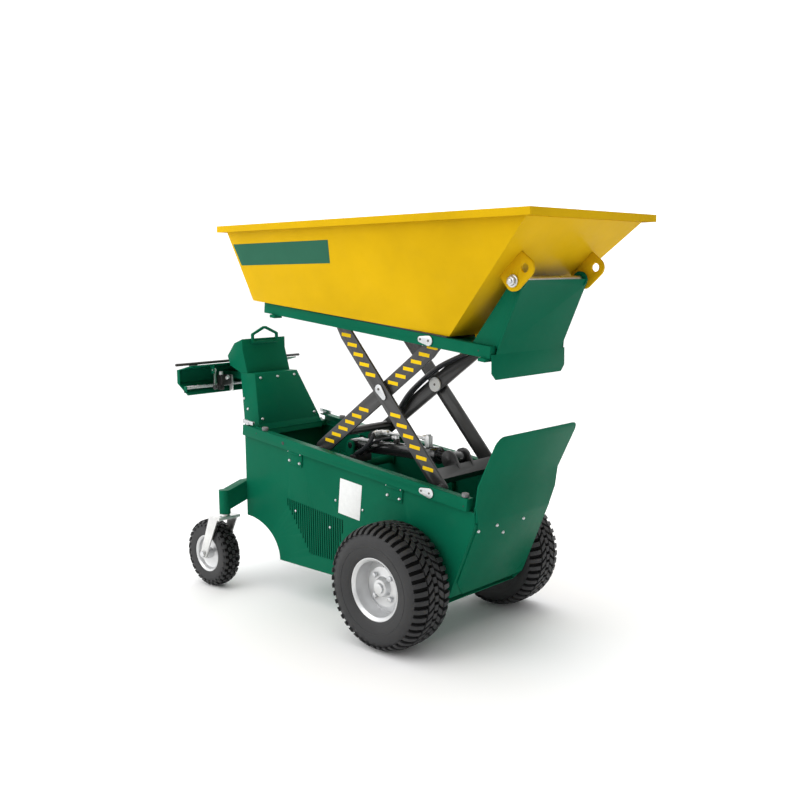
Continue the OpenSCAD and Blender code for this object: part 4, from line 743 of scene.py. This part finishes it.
for body, (face, foot, way, starts) in arm_dashes.items():
    marks = []
    for start in starts:
        for step in range(dash_count):
            spot = foot + way * (start + step * dash_step)
            for sign in (-1, 1):
                marks.append(((spot.x, sign * (face + dash_size[1] / 2), spot.z), dash_size, pitch))
    blocks("hazard_dashes_" + body, marks, body, signal_yellow, edge=0)


# Arm hoses: two hoses to the tip ram, clamped to the far inner arm and bowed over its centre disc.
# Black rubber hose in steel clamps, held at both ends.
def hose(name, route, radius, body, material):
    """A smooth round hose along a route."""
    bpy.ops.object.select_all(action="DESELECT")
    bpy.ops.curve.primitive_nurbs_path_add()
    path = bpy.context.object
    line = path.data.splines[0]
    line.points.add(len(route) - len(line.points))
    for point, spot in zip(line.points, route):
        point.co = (*spot, 1)
    line.order_u = 4
    line.use_endpoint_u = True
    path.data.bevel_depth = radius
    path.data.bevel_resolution = 4
    path.data.resolution_u = 6
    path.data.use_fill_caps = True
    bpy.ops.object.convert(target="MESH")
    ease_edges(path, 0, sharp=50)
    return finish_piece(path, name, body, material)


def on_inner(s, y, n):
    """A place in millimetres along, across and above the inner arm, from its lower end."""
    spot = inner_foot + inner_way * (s / 1000) + inner_up * (n / 1000)
    return Vector((spot.x, y / 1000, spot.z))


hose_black = moulded_rubber("hose_black", (0.030, 0.031, 0.036), rough=0.36, grain=700.0, depth=0.08)
inner_up = Vector((-inner_way.z, 0, inner_way.x))
arm_route = [(160, 0), (186, 1), (215, 6), (250, 17), (290, 29), (330, 37), (380, 40), (440, 41), (500, 39),
             (550, 32), (600, 20), (640, 9), (670, 2), (700, 0)]
arm_hose_r, ferrule_r = 0.008, 0.0098
hose_lanes = {"near": 113, "far": 131}
for name, lane in hose_lanes.items():
    route = [on_inner(s, lane, n) for s, n in arm_route]
    hose("arm_hose_" + name, route, arm_hose_r, "inner", hose_black)
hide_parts("arm_hoses")
clamp_lean = -math.atan2(inner_way.z, inner_way.x)
clamp_spots, clamp_lane, clamp_size = (163, 703), 123, (0.026, 0.040, 0.028)
clamps = [(on_inner(s, clamp_lane, 0), clamp_size, clamp_lean) for s in clamp_spots]
blocks("hose_clamps", clamps, "inner", black_satin, edge=0.003)
clamp_screw, screw_lane, clamp_top = (0.006, 0.0035), 122, 14
clamp_seats = [(on_inner(s, screw_lane, clamp_top), inner_up) for s in clamp_spots]
dome_heads("clamp_screws", clamp_seats, clamp_screw, "inner", bright_zinc)
ferrule_runs = ((176, 200, 2.5), (690, 664, 3))
ferrules = [(on_inner(s0, lane, 0), on_inner(s1, lane, n), ferrule_r, 20)
            for lane in hose_lanes.values() for s0, s1, n in ferrule_runs]
turned("arm_hose_ferrules", ferrules, "inner", dark_steel, edge=0.0012)

# Lift ram: a black painted barrel on the chassis, with a chromed rod to the cross bar of the arms.
# A plated pipe on its back feeds the front port, and two hoses come over the side to a saddle block.
chrome, chrome_shader, chrome_add, chrome_place = shader("chromed_rod", (0.72, 0.72, 0.73), 0.12, metal=1.0)
chrome_haze = chrome_add("TexNoise", Vector=chrome_place, Scale=60.0, Detail=4.0)
chrome_dull = between(chrome_add, chrome_haze.outputs["Fac"], grey(0.08), grey(0.2))
chrome.node_tree.links.new(chrome_dull.outputs["Color"], chrome_shader.inputs["Roughness"])
gloss_black = powder_coat("gloss_black_coat", (0.012, 0.012, 0.013), rough=0.22, coat=0.4, ior=1.5)
dress("lift_barrel", gloss_black, edge=0.002)
ram_foot = pivots["ram_foot"]
ram_way = Vector(joints["ram_stroke"]["axis"]).normalized()
ram_way *= math.copysign(1, ram_way.x)
eye_reach = 0.504
lift_rod = dress("lift_rod", chrome, edge=0.001)
repaint(lift_rod, gloss_black, lambda spot: (spot - ram_foot).dot(ram_way) > eye_reach)
ram_down = Vector((ram_way.z, 0, -ram_way.x))


def on_ram(x, y, z):
    """A place in millimetres below, across and ahead of the ram's rear pin."""
    spot = ram_foot + ram_down * (x / 1000) + ram_way * (z / 1000)
    return Vector((spot.x, y / 1000, spot.z))


supply_route = [(-62, -24, 144), (-62, -38, 144), (-55, -50, 146), (-40, -59, 143), (-22, -64, 132),
                (-4, -66, 112), (10, -66, 90), (20, -66, 70), (26, -66, 58), (36, -66, 52)]
return_route = [(-47, 0, 222), (-47, 0, 206), (-46, -4, 190), (-42, -14, 172), (-35, -26, 152),
                (-25, -36, 132), (-10, -43, 112), (6, -46, 94), (20, -46, 76), (36, -46, 60)]
elbow_route = [(-62, 0, 172), (-62, 0, 158), (-62, 0, 148), (-62, -4, 144), (-62, -12, 144),
               (-62, -26, 144)]
supply_r, return_r, elbow_r, pipe_r = 0.009, 0.006, 0.0105, 0.006
supply = hose("lift_supply_hose", [on_ram(*p) for p in supply_route], supply_r, "ram_barrel", hose_black)
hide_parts("lift_hoses")
hose("lift_return_hose", [on_ram(*p) for p in return_route], return_r, "ram_barrel", hose_black)
hose("lift_elbow", [on_ram(*p) for p in elbow_route], elbow_r, "ram_barrel", pale_zinc)
pipe = [(on_ram(-62, 0, 150), on_ram(-62, 0, 396), pipe_r, 24)]
turned("lift_pipe", pipe, "ram_barrel", pale_zinc)
fitting_spots = [((-62, 0, 166), (-62, 0, 184), 0.0125, 6), ((-62, 0, 366), (-62, 0, 386), 0.0115, 6),
                 ((-62, -22, 144), (-62, -32, 144), 0.0135, 6),
                 ((-62, -30, 144), (-61, -46, 144), 0.011, 20),
                 ((-47, 0, 222), (-47, 0, 204), 0.0085, 20), ((-76, 0, 396), (-28, 0, 396), 0.0105, 24),
                 ((-78, 0, 396), (-70, 0, 396), 0.012, 6), ((-56, 0, 226), (-27, 0, 226), 0.0095, 24)]
fittings = [(on_ram(*start), on_ram(*end), radius, count) for start, end, radius, count in fitting_spots]
turned("lift_fittings", fittings, "ram_barrel", pale_zinc, edge=0.0012)
front_port = [(on_ram(-50, 0, 396), (0.024, 0.024, 0.044), 0)]
blocks("lift_front_port", front_port, "ram_barrel", pale_zinc, edge=0.003)
port_spots = [((-36, 0, 226), (0.020, 0.020, 0.018)), ((45, -32, 52), (0.036, 0.092, 0.030)),
              ((29, 0, 52), (0.036, 0.028, 0.010))]
port_blocks = [(on_ram(*middle), size, 0) for middle, size in port_spots]
blocks("lift_port_blocks", port_blocks, "ram_barrel", black_satin, edge=0.003)


# Platform and wedge: a pitched ladder of channels, and a folded wedge with a skirt and the tip shaft.
# Welded sheet in the same green, with weld beads showing where the cheeks meet the rails.
# Black strips along the rails and on the cross member fill the gap under the skip: painted shadow, a dark
# line where the gap is.
def welds(name, runs, bead, body, material):
    """Weld beads of one piece: each run has a start and an end."""
    step_share = 1.1
    thing = empty_mesh(name)
    for start, end in runs:
        run = Vector(end) - Vector(start)
        count = max(2, int(run.length / (bead * step_share)))
        for step in range(count + 1):
            bpy.ops.mesh.primitive_uv_sphere_add(segments=10, ring_count=6, radius=bead,
                                                 location=Vector(start) + run * (step / count))
    bpy.ops.object.mode_set(mode="OBJECT")
    ease_edges(thing, 0)
    return finish_piece(thing, name, body, material)


dress("platform_frame", deep_green, edge=0.0016)
dress("wedge", deep_green, edge=0.0014)
platform_body = nodes["platform_frame"]["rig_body"]
plat_face, plat_front, plat_top = 0.216, 0.271, 0.0205
dot_along, dot_r = 0.222, 0.0028
weld_back, weld_in, weld_bead = 0.0005, 0.004, 0.0022
weld_along, weld_y = plat_front - weld_back, plat_face - weld_in
for side, sign in both_sides.items():
    # The black disc on each platform rail face is painted shade, standing in for the dark inside of a hole.
    shade_dots = [(on_rail(high_pin, dot_along, sign * (plat_face - shade_disc_depth)),
             on_rail(high_pin, dot_along, sign * (plat_face + shade_disc_depth)), dot_r, 16)]
    turned("platform_hole_shade_" + side, shade_dots, platform_body, black_satin, edge=shade_disc_edge)
    corner = [on_rail(high_pin, weld_along, sign * weld_y, above) for above in (-plat_top, plat_top)]
    welds("rail_end_welds_" + side, [corner], weld_bead, platform_body, deep_green)
# The black strips are painted shadow filling the gap between the skip and the platform.
shade_strip_back, shade_strip_front, shade_strip_y, shade_strip_wide, shade_strip_thick = -0.900, 0.074, 0.2005, 0.022, 0.0046
shade_strip_low, shade_strip_high = plat_top, plat_top + shade_strip_thick
cross_back, cross_front, cross_top, cross_y = 0.033, 0.057, 0.010, 0.184
gap_shade_strips = [(on_rail(high_pin, (cross_back + cross_front) / 2, 0, (cross_top + shade_strip_high) / 2),
          (cross_front - cross_back, 2 * cross_y, shade_strip_high - cross_top), pitch)]
for sign in (-1, 1):
    middle = on_rail(high_pin, (shade_strip_back + shade_strip_front) / 2, sign * shade_strip_y, (shade_strip_low + shade_strip_high) / 2)
    gap_shade_strips.append((middle, (shade_strip_front - shade_strip_back, shade_strip_wide, shade_strip_high - shade_strip_low), pitch))
blocks("skip_gap_shade", gap_shade_strips, platform_body, case_black, edge=0.0008)

# Skip: a folded and welded tub with a wide rim, and two crane lugs beside the tip shaft.
# Yellow gloss, with a plain green band stuck on the near side and a nut on each end of the shaft.
skip_yellow = powder_coat("skip_yellow_coat", (0.63, 0.385, 0.006), rough=0.35, ior=1.06)
dress("skip_tub", skip_yellow, edge=0.0022)
for side in both_sides:
    dress("skip_lug_" + side, skip_yellow, edge=0.0014)
band_corners = [(-0.500, 1.375), (0.027, 1.377), (-0.512, 1.459), (0.050, 1.461)]
band_lift, band_thick = 0.0004, 0.0006
bpy.ops.object.select_all(action="DESELECT")
bpy.ops.mesh.primitive_plane_add()
band = bpy.context.object
for vert, (x, z) in zip(band.data.vertices, band_corners):
    spot, facing = on_face("skip_tub", (x, -1, z), (0, 1, 0))
    vert.co = spot + facing * band_lift
sheet = band.modifiers.new("sheet", "SOLIDIFY")
sheet.thickness = band_thick
sheet.offset = 0
bpy.ops.object.modifier_apply(modifier=sheet.name)
band_green = powder_coat("band_green", (0.03, 0.125, 0.078), rough=0.4, peel=0.02)
finish_piece(band, "skip_band", nodes["skip_tub"]["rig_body"], band_green)
tip_pin = pivots["skip_tip"]
cap_face, nut_face, stud_face = 0.218, 0.229, 0.234
nut_r, stud_r = 0.0165, 0.0085
shaft_nuts = []
for sign in (-1, 1):
    cap, nut, stud = (Vector((tip_pin.x, sign * y, tip_pin.z)) for y in (cap_face, nut_face, stud_face))
    shaft_nuts += [(cap, nut, nut_r, 6), (nut, stud, stud_r, 20)]
turned("shaft_nuts", shaft_nuts, nodes["tip_shaft"]["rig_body"], bright_zinc, edge=0.0014)

# Tip ram: a three-stage telescopic ram under the front of the skip.
# Black barrel and chromed stages.
dress("tip_barrel", black_satin)
for node in ("tip_stage_a", "tip_stage_b", "tip_rod"):
    dress(node, chrome, edge=0.0008)
